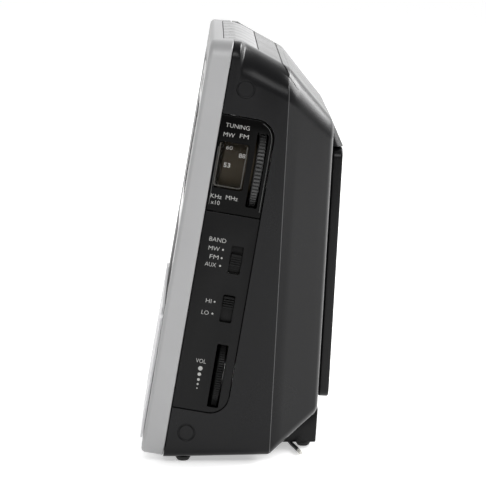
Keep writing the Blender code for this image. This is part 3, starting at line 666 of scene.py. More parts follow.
def make_aerial():
    """The wire from its grommet, through the coil and past the rear foot to its bare end."""
    route = smooth_path([*LEAD_IN, *coil_points(), *LEAD_OUT], WIRE_STEP)
    curve = bpy.data.curves.new("aerial_wire", "CURVE")
    curve.dimensions = "3D"
    curve.bevel_depth = WIRE / 2 * MM
    curve.bevel_resolution = 4
    curve.use_fill_caps = True
    spline = curve.splines.new("POLY")
    spline.points.add(len(route) - 1)
    for knot, point in zip(spline.points, route):
        knot.co = (*(point * MM), 1)
    curve.materials.append(LOOKS["wire"])
    obj = linked("aerial_wire", curve)
    piece(obj, "case", "wire", "aerial_lead", "aerial_coil", "aerial_free_end")


# ---- lettering and marks


def board(origin, right, up):
    """A drawing board: its x runs right and its y up, in a frame's millimetres."""
    right, up = Vector(right).normalized(), Vector(up).normalized()
    out = right.cross(up)
    made = Matrix((right, up, out)).transposed().to_4x4()
    made.translation = Vector(origin)
    return made


def letters(bm, text, centre, width, height, on, thick=0.05, thin=-0.008):
    """Adds a word to a bmesh, drawn to a width and a height about a centre on a board."""
    curve = bpy.data.curves.new(text, "FONT")
    curve.body = text
    curve.extrude = 0.5
    curve.offset = thin
    curve.resolution_u = 4
    obj = linked(text, curve)
    mesh = baked(obj)
    bpy.data.objects.remove(obj)
    xs = [v.co.x for v in mesh.vertices]
    ys = [v.co.y for v in mesh.vertices]
    size = (max(xs) - min(xs), max(ys) - min(ys))
    shift = Matrix.Translation((-(max(xs) + min(xs)) / 2, -(max(ys) + min(ys)) / 2, 0))
    scale = Matrix.Diagonal((width / size[0], height / size[1], thick, 1))
    place = Matrix.Translation((*centre, 0))
    mesh.transform(on @ place @ scale @ shift)
    bm.from_mesh(mesh)
    bpy.data.meshes.remove(mesh)


def disc(bm, centre, radius, on, thick=0.05, sides=20):
    """Adds a printed dot to a bmesh."""
    dot = rod(radius, (-thick / 2, thick / 2), "z", (*centre, 0), sides)
    dot.transform(on)
    add(bm, dot)


CAP = 1.85  # height of the printed capitals
# Words with the y and z of their middles and their widths, in the face frame
SIDE_WORDS = (
    ("TUNING", 18.3, 158.6, 10.8), ("MW", 15.1, 154.3, 5.0), ("FM", 21.9, 154.7, 4.0),
    ("KHz", 14.05, 126.1, 5.0), ("MHz", 21.1, 126.4, 5.4), ("x10", 14.1, 123.3, 4.0),
    ("BAND", 18.1, 106.8, 7.6), ("MW", 17.1, 102.7, 5.0), ("FM", 17.75, 98.9, 4.0),
    ("AUX", 16.7, 95.3, 5.0), ("HI", 18.7, 78.8, 2.5), ("LO", 18.0, 73.3, 3.2),
    ("VOL", 19.9, 51.1, 4.6),
)
SWITCH_DOT = 0.42
SWITCH_DOTS = ((21.1, 102.7), (21.2, 98.9), (21.1, 95.3), (21.4, 78.8), (21.35, 73.3))
VOLUME_DOT_Y = 20.2
VOLUME_DOTS = ((47.7, 1.0), (45.0, 0.8), (42.5, 0.63), (40.4, 0.45), (38.5, 0.3))


def make_side_legends():
    """Printed words and dots beside the controls."""
    on = board((PANEL_X[1] + 0.02, 0, 0), (0, 1, 0), (0, 0, 1))
    bm = bmesh.new()
    for text, y, z, width in SIDE_WORDS:
        letters(bm, text, (y, z), width, CAP, on)
    for centre in SWITCH_DOTS:
        disc(bm, centre, SWITCH_DOT, on)
    for z, radius in VOLUME_DOTS:
        disc(bm, (VOLUME_DOT_Y, z), radius, on)
    piece(solid("side_legends", bm, FACE, LEGEND), "case", "dial_print")


# ---- cabinet


def well_cutter():
    """What opens the top for the keys."""
    return cutter(block((-WELL_HALF, WELL_HALF), WELL_Y, WELL_Z, 0), FACE)


def bezel_ring(y, inset, half=HALF_WIDTH, low=BEZEL_BOTTOM, high=None, corner=BEZEL_CORNER):
    """A section of the bezel at a depth; its opening is one of smaller size."""
    high = top_at(y) if high is None else high
    return section(half, (y, low), (y, high), (corner, corner), inset, (14, 14))


def make_bezel():
    """The silver front frame, rounded along its front edge."""
    half, low, high = OPENING
    lip = WALL + 0.1
    edge, steps, inner = BEZEL_FRONT_EDGE, 8, 0.5
    rings = [bezel_ring(BEZEL_DEPTH, SEAM), bezel_ring(BEZEL_DEPTH - SEAM, 0)]
    for sine, cosine in quarter(steps):
        rings.append(bezel_ring(edge * (1 - sine), edge * (1 - cosine)))
    corner = 5
    rings.append(bezel_ring(0, 0, half + inner, low - inner, high + inner, corner + inner))
    rings.append(bezel_ring(inner, 0, half, low, high, corner))
    rings.append(bezel_ring(lip, 0, half, low, high, corner))
    rings += [bezel_ring(lip, WALL), bezel_ring(BEZEL_DEPTH, WALL)]
    shell = solid("bezel_frame", loft(rings, "loop"), FACE, LOOKS["silver_plastic"])
    piece(cut(shell, well_cutter()), "case", "silver_plastic", "front_bezel")


def front_case_section(depth, radius, inset=0.0):
    """A section of the front case at a depth behind the face."""
    low = face_point(depth, face_height(depth, CASE_BOTTOM_FRONT_Z))
    high = face_point(depth, top_at(depth))
    return section(CASE_HALF, low, high, (BOTTOM_FILLET, radius), inset)


def blended_section(start, end, share, inset=0.0):
    """Part way between two (bottom, top) lines, for the long tapering runs."""
    ends = []
    for a, b in zip(start, end):
        ends.append(tuple(p + (q - p) * share for p, q in zip(a, b)))
    return section(CASE_HALF, *ends, (BOTTOM_FILLET, TOP_FILLET), inset)


def make_front_case():
    """The front half of the case: a flange behind the bezel, then the long rounded sides."""
    front = BEZEL_DEPTH + GAP
    flange = front + FLANGE_DEPTH
    steps, ahead, soft = 8, 0.6, 2.6
    outer = [front_case_section(front, BEZEL_CORNER, SEAM),
             front_case_section(front + SEAM, BEZEL_CORNER)]
    for i in range(steps + 1):
        share = i / steps
        eased = share * share * (3 - 2 * share)
        radius = BEZEL_CORNER + (TOP_FILLET - BEZEL_CORNER) * eased
        outer.append(front_case_section(flange - ahead + soft * share, radius))
    last = flange - ahead + soft
    start = (face_point(last, face_height(last, CASE_BOTTOM_FRONT_Z)),
             face_point(last, top_at(last)))
    crease = (CREASE_BOTTOM, CREASE_TOP)
    outer += [blended_section(start, crease, share) for share in (0.25, 0.5, 0.75, 0.985)]
    outer.append(blended_section(start, crease, 1.0, SEAM))
    inner = [blended_section(start, crease, 1.0, WALL), front_case_section(front, TOP_FILLET, WALL)]
    shell = solid("front_case", loft(outer + inner, "loop"), GROUND, LOOKS["black_plastic"])
    piece(cut(shell, *front_case_cutters()), "case", "black_plastic", "front_cabinet")


def front_case_cutters():
    """The well, the holes for the side panels and sockets, the round grooves and the seam."""
    y = (PANEL_Y[0] - 3, PANEL_Y[1] + GAP)
    z = (PANEL_Z[0] - GAP, PANEL_Z[1] + GAP)
    corner = PANEL_CORNER + GAP
    hole = prism(rounded(y, z, (0, corner, corner, 0)), SIDE_CUT, "x")
    tools = [well_cutter(), cutter(hole, FACE)]
    for node in ("phone_socket", "line_in_socket"):
        low, high = extent(node, FACE)
        at = (0, (low.y + high.y) / 2, (low.z + high.z) / 2)
        tools.append(cutter(rod(SOCKET_RADIUS + GAP, (-SIDE_CUT[1], -SIDE_CUT[0]), "x", at), FACE))
    for y, z, radius in SIDE_RINGS:
        for x in (CASE_HALF, -CASE_HALF):
            tools.append(cutter(groove_ring(radius, (x, y, z)), GROUND))
    return [*tools, cutter(seam_blade(), GROUND)]


def seam_blade():
    """What cuts the seam across the top, which runs back to the crease at both ends."""
    ahead, turn_in, steps = 3.3, 76.0, 8
    wide, deep, flat = 0.4, 0.8, CASE_HALF - TOP_FILLET
    start = face_point(BEZEL_DEPTH + FLANGE_DEPTH, top_at(BEZEL_DEPTH + FLANGE_DEPTH))
    fall = (CREASE_TOP[1] - start[1]) / (CREASE_TOP[0] - start[0])
    route = []
    for i in range(steps + 1):
        share = i / steps
        route.append((SEAM_END + (turn_in - SEAM_END) * share, CREASE_TOP[0] - ahead * share))
    route = [(-x, y) for x, y in route] + [(x, y) for x, y in reversed(route)]
    rings = []
    for x, y in route:
        over = max(abs(x) - flat, 0)
        drop = TOP_FILLET - math.sqrt(TOP_FILLET**2 - over**2)
        z = CREASE_TOP[1] + fall * (y - CREASE_TOP[0]) - drop
        outline = rounded((y - wide, y + wide), (z - deep, z + BLADE_TALL), (0,) * 4)
        rings.append([Vector((x, b, c)) for b, c in outline])
    return loft(rings)


def jog_blade(side):
    """What carries the seam on, a short way down the rear case's top corner."""
    wide, deep, steps = 0.25, 0.6, 6
    rings = []
    for i in range(steps + 1):
        share = i / steps
        x, y = SEAM_END - 1.8 * share, CREASE_TOP[0] - 0.4 + 3.3 * share
        blend = max(y - CREASE_TOP[0], 0) / (REAR_TOP[0] - CREASE_TOP[0])
        radius = TOP_FILLET + (REAR_FILLET - TOP_FILLET) * blend
        over = x - (CASE_HALF + (REAR_HALF - CASE_HALF) * blend - radius)
        z = CREASE_TOP[1] + (REAR_TOP[1] - CREASE_TOP[1]) * blend
        z -= radius - math.sqrt(radius**2 - over**2)
        outline = rounded((x - wide, x + wide), (z - deep, z + BLADE_TALL), (0,) * 4)
        rings.append([Vector((side * a, y, b)) for a, b in outline])
    return loft(rings)


def groove_ring(radius, at):
    """A thin ring about x that cuts a shallow round groove in a side."""
    width, depth = 0.42, 0.4
    profile = [(radius + p, q) for p, q in arc((0, 0), 1, 0, 330, 11)]
    profile = [(radius + width * (p - radius), depth * q) for p, q in profile]
    return lathe(profile, "x", at, 56)


def rear_section(blend, inset=0.0):
    """A section of the rear case, from the crease (0) to the rear face (1)."""
    def between(a, b):
        return tuple(p + (q - p) * blend for p, q in zip(a, b))

    low = between((CREASE_BOTTOM[0] + CASE_JOINT, CREASE_BOTTOM[1] + 0.05), REAR_BOTTOM)
    high = between((CREASE_TOP[0] + CASE_JOINT, CREASE_TOP[1] - 0.05), REAR_TOP)
    half = CASE_HALF + (REAR_HALF - CASE_HALF) * blend
    fillet = TOP_FILLET + (REAR_FILLET - TOP_FILLET) * blend
    return section(half, low, high, (BOTTOM_FILLET, fillet), inset)


def ramp_shape(half, top, out, low):
    """The ramp from the rear face out to the battery door, rounded off at both ends."""
    ease, steps = 7.0, 8
    rings = []
    for side in (-1, 1):
        for i in range(steps + 1):
            turn = math.radians(90 * (i if side > 0 else steps - i) / steps)
            x = side * (half - ease + ease * math.sin(turn))
            sink = ease * (1 - math.cos(turn))
            outline = [(-1.5, top), (max(-sink, -1.4), top), (max(out - sink, -1.3), low),
                       (-1.5, low)]
            rings.append([Vector((x, y, z)) for y, z in outline])
    return loft(rings)


def make_rear_case():
    """The tapering rear half, with its ramp, battery bay and screw wells."""
    edge, steps, straight = 2.4, 8, 0.92
    rings = [rear_section(0.86, WALL + 1.2), rear_section(0.0, WALL), rear_section(0.0, SEAM)]
    rings += [rear_section(blend) for blend in (0.015, 0.25, 0.5, 0.75)]
    for sine, cosine in quarter(steps):
        rings.append(rear_section(straight + (1 - straight) * sine, edge * (1 - cosine)))
    shell = loft(rings)
    count = len(rings[0])
    # The chamfer faces at the crease take the second material, a painted highlight
    shell.faces.ensure_lookup_table()
    for chamfer in shell.faces[2 * count:3 * count]:
        chamfer.material_index = 1
    case = solid("rear_case", shell, GROUND, LOOKS["black_plastic"])
    case.data.materials.append(PAINTED_SEAM_HIGHLIGHT)
    door_high = extent("battery_door", REAR)[1]
    ramp = ramp_shape(door_high.x, RAMP_TOP, door_high.y + 0.2, door_high.z + 0.6)
    case = join(case, solid("ramp", ramp, REAR, LOOKS["black_plastic"]))
    low, high = extent("battery_tray", REAR)
    bay = block((low.x - GAP, high.x + GAP), (-34, 5), (low.z - GAP, high.z + GAP), 0)
    tools = [cutter(bay, REAR), *(cutter(jog_blade(side), GROUND) for side in (-1, 1))]
    for x, z in SCREWS:
        tools.append(cutter(rod(3.6, (-1.4, 3), "y", (x, 0, z)), REAR))
    piece(cut(case, *tools), "case", "black_plastic", "rear_cabinet")


def make_screws():
    """Cross-head screws in the wells of the rear face."""
    for number, (x, z) in enumerate(SCREWS):
        head = lathe([(0, -1.4), (2.9, -1.4), (2.9, -0.9), (2.4, -0.35), (1.2, -0.1), (0, -0.05)],
                     "y", (x, 0, z), 32)
        screw = solid(f"rear_screw_{number}", head, REAR, LOOKS["steel"])
        bars = []
        for wide, tall in ((1.7, 0.28), (0.28, 1.7)):
            bar = block((x - wide, x + wide), (-0.8, 0.5), (z - tall, z + tall), 0)
            bars.append(solid("bar", bar, REAR, LOOKS["steel"]))
        piece(cut(screw, *bars), "case", "steel")


# ---- front


def make_front_panel():
    """The gloss panel inside the bezel, with the doorway and the speaker's hole."""
    half, low, high = OPENING
    outline = rounded((-half + GAP, half - GAP), (low + GAP, high - GAP), (4.7,) * 4)
    panel = solid("front_fascia", prism(outline, (1.2, 3.7), "y", 0.3), FACE,
                  LOOKS["gloss_black"])
    door_low, door_high = extent("cassette_door", FACE)
    doorway = prism(around(door_low, door_high, "y", 0.4, 0.8, 3), (0, 6), "y")
    magnet_low, magnet_high = extent("speaker_basket", FACE)
    centre = (magnet_low + magnet_high) / 2
    radius = (magnet_high.x - magnet_low.x) / 2 - 4
    speaker = rod(radius, (0, 6), "y", (0, 0, centre.z), 64)
    pin = rod(0.95, (-62.5, 62.5), "x", (0, *DOOR_AXIS), 16)
    tools = [cutter(bm, FACE) for bm in (doorway, speaker, pin)]
    piece(cut(panel, *tools), "case", "gloss_black", "front_panel")


def grille_holes(low, high, corner):
    """Rows of round holes, clear of a sheet's border and corners."""
    pitch, radius, border = 3.2, 1.0, 3.4
    centre, holes = (low + high) / 2, []
    row_step = pitch * math.sqrt(3) / 2
    rows = int((high.z - low.z - 2 * border - 2 * radius) / row_step) + 1
    first = centre.z - row_step * (rows - 1) / 2
    for row in range(rows):
        odd = row % 2
        shift = odd * pitch / 2
        count = int((centre.x - low.x - border - radius - shift) / pitch)
        for i in range(-count - odd, count + 1):
            hole = (i * pitch + shift, first + row * row_step)
            inside_x = high.x - border - radius - abs(hole[0])
            inside_z = high.z - border - radius - abs(hole[1] - centre.z) - centre.z
            if inside_x + inside_z > corner * 0.45:
                holes.append(list(arc(hole, radius, 0, 330, 11)))
    return holes


def make_grille():
    """A sheet with round holes, drawn as one filled outline."""
    low, high = extent("speaker_grille", FACE)
    corner, depth = 6.0, (low.y + high.y) / 2
    curve = bpy.data.curves.new("grille", "CURVE")
    curve.dimensions = "2D"
    curve.fill_mode = "BOTH"
    curve.extrude = (high.y - low.y) / 2 * MM
    loops = [around(low, high, "y", 0, corner), *grille_holes(low, high, corner)]
    for points in loops:
        spline = curve.splines.new("POLY")
        spline.points.add(len(points) - 1)
        spline.use_cyclic_u = True
        for knot, (x, z) in zip(spline.points, points):
            knot.co = (x * MM, z * MM, 0, 1)
    flat = linked("flat", curve)
    mesh = baked(flat)
    bpy.data.objects.remove(flat)
    bm = bmesh.new()
    bm.from_mesh(mesh)
    bpy.data.meshes.remove(mesh)
    bmesh.ops.remove_doubles(bm, verts=bm.verts, dist=0.0000005)
    bmesh.ops.scale(bm, vec=(1000, 1000, 1000), verts=bm.verts)
    bmesh.ops.rotate(bm, matrix=Matrix.Rotation(math.pi / 2, 3, "X"), verts=bm.verts)
    bmesh.ops.translate(bm, vec=(0, depth, 0), verts=bm.verts)
    placed("grille_mesh", bm, FACE, "grille_metal", "case", "speaker_grille")


def make_door():
    """The cassette door with its guides, turning about its lower edge."""
    low, high = extent("cassette_door", FACE)
    y0, z0 = DOOR_AXIS
    front, back = 0.25, 2.75
    outline = rounded((low.x, high.x), (z0, high.z), (1.5,) * 4, 5)
    plate = solid("tape_door", prism(outline, (front, back), "y", 0.5), FACE,
                  LOOKS["gloss_black"])
    shapes = [rod(2.2, (low.x, high.x), "x", (0, y0, z0), 32)]
    for side in (-1, 1):
        x = sorted((side * 51.2, side * 53.4))
        shapes.append(block(x, (y0, y0 + 12), (z0 + 2.8, z0 + 49), 0.4))
    shapes.append(block((-53.4, 53.4), (y0, y0 + 8), (z0 + 1.0, z0 + 2.9), 0.3))
    join(plate, *[solid("part", bm, FACE, LOOKS["gloss_black"]) for bm in shapes])
    win_low, win_high = extent("door_window", FACE)
    window = prism(around(win_low, win_high, "y", GAP, 2.4, 6), (-7, 11), "y")
    bore = rod(1.1, (-60, 60), "x", (0, y0, z0), 20)
    tools = [window, bore]
    for i in range(4):
        z = high.z - 5.0 - 1.7 * i
        tools.append(prism(rounded((-24, 24), (z, z + 0.8), (0.4,) * 4, 4), (0, front + 0.5), "y"))
    cut(plate, *[cutter(bm, FACE) for bm in tools])
    piece(plate, "tape_door", "gloss_black", "cassette_door")
    pane = prism(around(win_low, win_high, "y", 0, 2.1, 6), (win_low.y, win_high.y), "y", 0.4)
    placed("tape_window", pane, FACE, "clear_window", "tape_door", "door_window")


BODIES = frame["record"]["behaviour"]["bodies"]
KEY_MARKS = {
    "record_key": "record", "play_key": "play", "rewind_key": "rewind",
    "forward_key": "forward", "stop_eject_key": "stop", "pause_key": "pause",
}


def key_outlines(kind):
    """A key's symbol as outlines in (x, y), about 4 mm high."""
    def triangle(x, way):
        return [(x - way * 1.4, -1.7), (x + way * 1.6, 0), (x - way * 1.4, 1.7)]

    if kind == "record":
        return [list(arc((0, 0), 1.7, 0, 345, 23))]
    if kind == "play":
        return [triangle(0, 1)]
    if kind == "rewind":
        return [triangle(-1.6, -1), triangle(1.5, -1)]
    if kind == "forward":
        return [triangle(-1.5, 1), triangle(1.6, 1)]
    if kind == "stop":
        square = [(-5.2, -1.5), (-2.2, -1.5), (-2.2, 1.5), (-5.2, 1.5)]
        bar = [(1.6, -1.6), (5.2, -1.6), (5.2, -0.9), (1.6, -0.9)]
        return [square, bar, [(1.6, -0.3), (5.2, -0.3), (3.4, 1.7)]]
    return [[(x, -1.6), (x + 0.9, -1.6), (x + 0.9, 1.6), (x, 1.6)] for x in (-1.5, 0.6)]


def make_key(name):
    """A key cap that follows the cabinet's top, with its symbol."""
    low, high = extent(name, FACE)
    front, back, thick, drop = WELL_Y[0] + 0.4, WELL_Y[1] - 0.4, KEY_THICK, KEY_DROP
    bend = top_at(BEND_DEPTH) - drop
    outline = [(front, top_at(front) - drop), (BEND_DEPTH - 1.5, top_at(BEND_DEPTH - 1.5) - drop)]
    outline += [(BEND_DEPTH + 1.5, top_at(BEND_DEPTH + 1.5) - drop - 0.05)]
    outline += [(back, top_at(back) - drop), (back, top_at(back) - drop - thick)]
    outline += [(KEY_STEM[1], bend - 1.6 - thick), (KEY_STEM[1], low.z), (KEY_STEM[0], low.z)]
    under = top_at(front) - drop - thick
    outline += [(KEY_STEM[0], under), (front, under)]
    cap = prism(outline, (low.x, high.x), "x", 0.18, 2)
    body = next(row for row, nodes in BODIES.items() if name in nodes)
    placed(name + "_cap", cap, FACE, "silver_plastic", body, name)
    middle, y = (low.x + high.x) / 2, 9.6
    bm = bmesh.new()
    for points in key_outlines(KEY_MARKS[name]):
        rows = []
        for lift in (-0.06, 0.03):
            row = [(middle + a, y + b, top_at(y + b) - drop + lift) for a, b in points]
            rows.append([bm.verts.new(p) for p in row])
        bm.faces.new(rows[0])
        bm.faces.new(rows[1])
        for i in range(len(points)):
            j = (i + 1) % len(points)
            bm.faces.new((rows[0][i], rows[0][j], rows[1][j], rows[1][i]))
    piece(solid(name + "_mark", bm, FACE, MARK), body, "black_plastic")


# ---- side controls


def slot_cutter(y, z):
    """A rounded slot through the side panel."""
    return cutter(prism(rounded(y, z, (0.6,) * 4, 4), SIDE_CUT, "x"), FACE)


def switch_cutter(middle, half):
    """The slot that a slide knob travels in."""
    y = (SWITCH_Y - SLOT_WIDTH / 2, SWITCH_Y + SLOT_WIDTH / 2)
    return slot_cutter(y, (middle - half, middle + half))


def wheel_cutter(node, z):
    """The slot that a thumb wheel looks out of."""
    low, high = extent(node, FACE)
    middle = (low.y + high.y) / 2
    return slot_cutter((middle - SLOT_WIDTH / 2 - 0.3, high.y + 0.5), z)


def make_side_panels():
    """The control strip, and the gloss plate round the tuning dial above it."""
    lower = rounded(PANEL_Y, (PANEL_Z[0], PANEL_SPLIT), (0, PANEL_CORNER, 0, 0))
    strip = solid("control_strip", prism(lower, PANEL_X, "x", 0.35), FACE, DARK_SATIN)
    cut(strip, *(switch_cutter(*row) for row in SWITCH_SLOTS),
        wheel_cutter("volume_wheel", VOLUME_SLOT))
    piece(strip, "case", "black_plastic", "side_control_panel")
    upper = rounded(PANEL_Y, (PANEL_SPLIT + GAP, PANEL_Z[1]), (0, 0, PANEL_CORNER, 0))
    plate = solid("dial_plate", prism(upper, PANEL_X, "x", 0.5), FACE, LOOKS["gloss_black"])
    low, high = extent("dial_window", FACE)
    hole = prism(around(low, high, "x", GAP, 1.2, 5), SIDE_CUT, "x")
    cut(plate, wheel_cutter("tuning_wheel", TUNING_SLOT), cutter(hole, FACE))
    piece(plate, "case", "gloss_black", "tuning_panel")
    make_dial_window(low, high)
    # A thin grey line painted just inside the gloss plate's edge, as the highlight on its bevel
    highlight_band = solid("dial_plate_painted_highlight", plate_outline(PLATE_HIGHLIGHT_INSET), FACE, PAINTED_PLATE_HIGHLIGHT)
    bare = block(SIDE_CUT, (PANEL_Y[0] - 2, PANEL_Y[1] - PANEL_CORNER + 2.5), (148.5, 170), 0)
    foot = block(SIDE_CUT, (PANEL_Y[0] - 2, PANEL_Y[1] + 2), (PANEL_SPLIT, PANEL_SPLIT + 3), 0)
    tools = [cutter(bm, FACE) for bm in (plate_outline(PLATE_HIGHLIGHT_INSET + PLATE_HIGHLIGHT_WIDTH, 4), bare, foot)]
    piece(cut(highlight_band, *tools), "case", "white_plastic")


def plate_outline(inset, proud=0.05):
    """A sheet of the gloss plate's outline, drawn in from its edge."""
    y = (PANEL_Y[0] + inset, PANEL_Y[1] - inset)
    z = (PANEL_SPLIT + GAP + inset, PANEL_Z[1] - inset)
    top, corner = PANEL_X[1], PANEL_CORNER - inset
    return prism(rounded(y, z, (0, 0, corner, 0)), (top - 2 * proud, top + proud), "x")


def make_dial_window(low, high):
    """A slightly crowned pane, and a light band painted round three of its sides as the highlight on
    the window's edges.
    """
    rings = []
    crown, corner, steps = 0.35, 1.0, 6
    for sine, cosine in quarter(steps):
        x = high.x - crown + crown * sine
        ring = around(low, high, "x", -1.6 * (1 - cosine), corner, 5)
        rings.append([Vector((x, y, z)) for y, z in ring])
    base = around(low, high, "x", 0, corner, 5)
    rings.insert(0, [Vector((low.x, y, z)) for y, z in base])
    placed("dial_glass", loft(rings), FACE, "clear_window", "case", "dial_window")
    # The light band round the window is a painted highlight on its edges
    edge, wide = 0.25, 0.55
    outer = prism(around(low, high, "x", -edge, 1.2, 5), (low.x - 0.5, low.x - 0.1), "x")
    rim = solid("dial_window_painted_highlight", outer, FACE, PAINTED_WINDOW_HIGHLIGHT)
    inner = prism(rounded((low.y + edge + wide, high.y - edge - wide),
                          (low.z + edge + wide, high.z + 4), (0.9,) * 4, 5), SIDE_CUT, "x")
    piece(cut(rim, cutter(inner, FACE)), "case", "white_plastic")


def make_wheel(node, name, ribs, groove, look, body, bore=2.3):
    """A thumb wheel with ribs across its rim and rounded shoulders."""
    low, high = extent(node, FACE)
    centre = (low + high) / 2
    radius = (high.x - low.x) / 2
    half = (high.y - low.y) / 2
    shoulder, per_rib = 0.45, 4
    rings = []
    levels = ((-half, radius - 1.4), (-half, radius - shoulder - groove), (-half + shoulder, None),
              (half - shoulder, None), (half, radius - shoulder - groove), (half, radius - 1.4))
    for level, plain in levels:
        ring = []
        for i in range(ribs * per_rib):
            turn = 2 * math.pi * i / (ribs * per_rib)
            raised = radius - (groove if i % per_rib == 0 else 0)
            at = raised if plain is None else plain
            ring.append(Vector((centre.x + at * math.cos(turn), centre.y + level,
                                centre.z + at * math.sin(turn))))
        rings.append(ring)
    wheel = solid(name, loft(rings), FACE, look, 25)
    hole = rod(bore, (-half - 1, half + 1), "y", tuple(centre), 32)
    piece(cut(wheel, cutter(hole, FACE)), body, "black_plastic", node)


# Text, angle round the drum in degrees, and y
DRUM_NUMBERS = (
    ("53", 0.0, 16.45), ("60", 32.0, 16.3), ("70", 56.0, 16.4), ("80", 76.0, 16.4),
    ("100", 101.0, 16.7), ("120", 124.0, 16.7), ("140", 145.0, 16.7), ("160", 163.0, 16.7),
    ("88", 20.6, 22.5), ("92", 49.0, 22.4), ("96", 74.0, 22.4), ("100", 99.0, 22.6),
    ("104", 123.0, 22.6), ("108", 147.0, 22.6),
)


def make_drum():
    """The dial drum, with the scale's numbers printed round its rim."""
    low, high = extent("dial_drum", FACE)
    radius = (high.x - low.x) / 2
    x, z = (low.x + high.x) / 2, (low.z + high.z) / 2
    wheel_low = extent("tuning_wheel", FACE)[0]
    back = wheel_low.y - GAP
    profile = [(0, back - 2.4), (radius - 1.6, back - 2.4), (radius - 1.6, low.y),
               (radius - 0.2, low.y), (radius, low.y + 0.2), (radius, back - 0.2),
               (radius - 0.2, back), (2.0, back), (2.0, high.y), (0, high.y)]
    drum = lathe(profile, "y", (x, 0, z), 96)
    placed("scale_drum", drum, FACE, "dial_print", "tuner", "dial_drum")
    bm = bmesh.new()
    for text, angle, y in DRUM_NUMBERS:
        turn = math.radians(angle)
        out = Vector((math.cos(turn), 0, math.sin(turn)))
        up = Vector((-math.sin(turn), 0, math.cos(turn)))
        at = Vector((x, y, z)) + out * (radius + 0.03)
        on = board(at, (0, 1, 0), up)
        letters(bm, text, (0, 0), 1.5 * len(text), 2.0, on, 0.08, 0.012)
    piece(solid("scale_numbers", bm, FACE, SCALE_INK), "tuner", "dial_print")


def make_knob(node, name, body):
    """A slide knob with ridges across its cap."""
    low, high = extent(node, FACE)
    width, height, pitch = 4.7, 5.4, 1.05
    centre_z, x0 = KNOB_Z[node], low.x
    cap = block((x0 + 0.6, high.x - 0.7), (SWITCH_Y - width / 2, SWITCH_Y + width / 2),
                (centre_z - height / 2, centre_z + height / 2), 0.3)
    knob = solid(name, cap, FACE, KNOB_BLACK)
    shapes = [block((x0, x0 + 1.2), (low.y, high.y), (low.z, high.z), 0.2)]
    for i in range(5):
        z = centre_z + pitch * (i - 2)
        ridge = rounded((high.x - 1.2, high.x), (z - 0.3, z + 0.3), (0, 0.22, 0.22, 0), 3)
        shapes.append(prism(ridge, (SWITCH_Y - width / 2, SWITCH_Y + width / 2), "y"))
    join(knob, *[solid("part", bm, FACE, KNOB_BLACK) for bm in shapes])
    piece(knob, body, "black_plastic", node)


# ---- back, feet and sockets


def make_battery_door():
    """The battery cover, with finger ridges, long grooves and an arrow."""
    low, high = extent("battery_door", REAR)
    outline = around(low, high, "y", 0, 5.0)
    door = solid("battery_cover", prism(outline, (low.y, high.y), "y", 1.0, 5), REAR,
                 LOOKS["black_plastic"])
    pocket = block((low.x + 7, high.x - 7), (low.y - 2, high.y - 2.2), (low.z + 9, high.z - 9), 0)
    tools = [pocket]
    for i in range(5):
        z = high.z - 8 - 2.6 * i
        tools.append(prism(rounded((-13, 13), (z - 0.5, z + 0.5), (0.5,) * 4, 4),
                           (high.y - 0.5, high.y + 1), "y"))
    for i in range(3):
        z = low.z + 34 + 24 * i
        tools.append(prism(rounded((low.x + 9, high.x - 9), (z - 0.6, z + 0.6), (0.5,) * 4, 4),
                           (high.y - 0.4, high.y + 1), "y"))
    cut(door, *[cutter(bm, REAR) for bm in tools])
    piece(door, "battery_cover", "black_plastic", "battery_door")
    bm = prism([(-2.2, high.z - 23.5), (2.2, high.z - 23.5), (0, high.z - 27.2)],
               (high.y - 0.02, high.y + 0.05), "y")
    piece(solid("battery_cover_arrow", bm, REAR, LEGEND), "battery_cover", "dial_print")


def make_feet():
    """The block under the back, and the four rubber feet."""
    low, high = extent("rear_foot_block")
    slope = (REAR_BOTTOM[1] - CREASE_BOTTOM[1]) / (REAR_BOTTOM[0] - CREASE_BOTTOM[0])

    def under(y):
        return CREASE_BOTTOM[1] + slope * (y - CREASE_BOTTOM[0]) - 0.5

    front, back = low.y, FOOT_BACK
    outline = [(front, low.z), (back - 0.1, low.z), (back + 1, 18.0), (back, under(back)),
               (front, under(front))]
    base = prism(outline, (low.x, high.x), "x", 0.5)
    placed("foot_block", base, GROUND, "black_plastic", "case", "rear_foot_block")
    for node in ("front_foot_left", "front_foot_right", "rear_foot_left", "rear_foot_right"):
        low, high = extent(node)
        middle = (low + high) / 2
        tall = high.z - low.z
        pad = [(0, 0), (2.1, 0), (2.6, 0.25), (3.5, tall - 0.2), (3.6, tall), (0, tall)]
        foot = lathe(pad, "z", (middle.x, middle.y, low.z), 32)
        placed(node + "_pad", foot, GROUND, "rubber", "case", node)


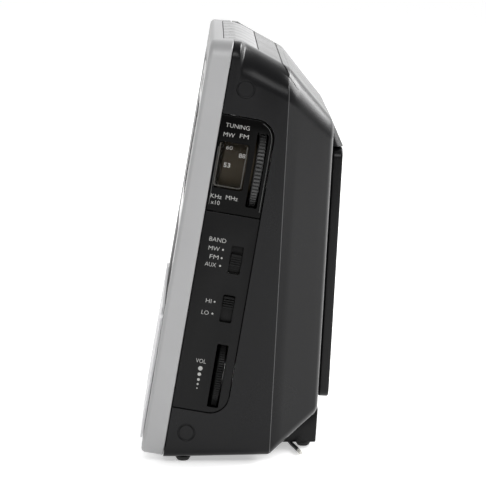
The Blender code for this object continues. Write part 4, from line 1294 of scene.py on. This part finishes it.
def make_sockets():
    """Round jacks in the left side, each with a bright ring, and their printed words."""
    on = board((-CASE_HALF - 0.02, 0, 0), (0, -1, 0), (0, 0, 1))
    bm = bmesh.new()
    for node, word, width in (("phone_socket", "PHONES", 9.0), ("line_in_socket", "LINE IN", 9.0)):
        low, high = extent(node, FACE)
        y, z = (low.y + high.y) / 2, (low.z + high.z) / 2
        out = low.x
        body = [(0, out + 10.6), (SOCKET_RADIUS, out + 10.6), (SOCKET_RADIUS, out + 0.5),
                (3.6, out + 0.15), (3.2, out + 0.15), (3.2, out + 0.6), (1.75, out + 0.6),
                (1.75, out + 9.6), (0, out + 9.6)]
        jack = lathe(body, "x", (0, y, z), 40)
        placed(node + "_body", jack, FACE, "black_plastic", "case", node)
        ring = [(1.8, out + 0.55), (1.8, out + 0.1), (2.0, out), (2.9, out), (3.1, out + 0.1),
                (3.1, out + 0.55)]
        placed(node + "_ring", lathe(ring, "x", (0, y, z), 40), FACE, "steel", "case")
        letters(bm, word, (-y, z + 6.6), width, CAP, on)
    piece(solid("socket_legends", bm, FACE, LEGEND), "case", "dial_print")


INSIDE = {
    "battery_tray": "black_plastic", "battery_contact_left": "steel",
    "battery_contact_right": "steel", "deck_chassis": "steel", "supply_spindle": "white_plastic",
    "takeup_spindle": "white_plastic", "capstan_flywheel": "steel", "flywheel_bracket": "steel",
    "motor": "steel", "motor_pulley": "brass", "drive_belt": "rubber", "head_plate": "steel",
    "play_head": "steel", "erase_head": "black_plastic", "pinch_roller": "rubber",
    "door_hinge_pin": "steel", "key_guide": "steel", "speaker_basket": "steel",
    "speaker_cone": "cone_paper", "speaker_magnet": "steel", "circuit_board": "board",
    "ferrite_aerial": "black_plastic", "tuning_capacitor": "white_plastic",
    "volume_pot": "steel", "band_switch_body": "steel", "level_switch_body": "steel",
    "aerial_gland": "rubber", "aerial_tip": "white_plastic",
}


def dress_inside():
    """The CAD nodes that stay as they are take the finishes too."""
    for node, slot in INSIDE.items():
        obj = frame["nodes"][node]
        obj.data.materials.clear()
        obj.data.materials.append(LOOKS[slot])


def build():
    """The studio, then every piece of the player."""
    make_camera()
    make_aerial()
    make_studio()
    make_bezel()
    make_front_case()
    make_rear_case()
    make_screws()
    make_front_panel()
    make_grille()
    make_door()
    for name in KEY_MARKS:
        make_key(name)
    make_side_panels()
    make_side_legends()
    make_wheel("tuning_wheel", "tuning_thumb_wheel", 72, 0.75, WHEEL_GREY, "tuner")
    make_wheel("volume_wheel", "volume_thumb_wheel", 100, 0.4, KNOB_BLACK, "volume_control")
    make_drum()
    make_knob("band_switch_knob", "band_slider", "band_knob")
    make_knob("level_switch_knob", "level_slider", "level_knob")
    make_battery_door()
    make_feet()
    make_sockets()
    dress_inside()


build()
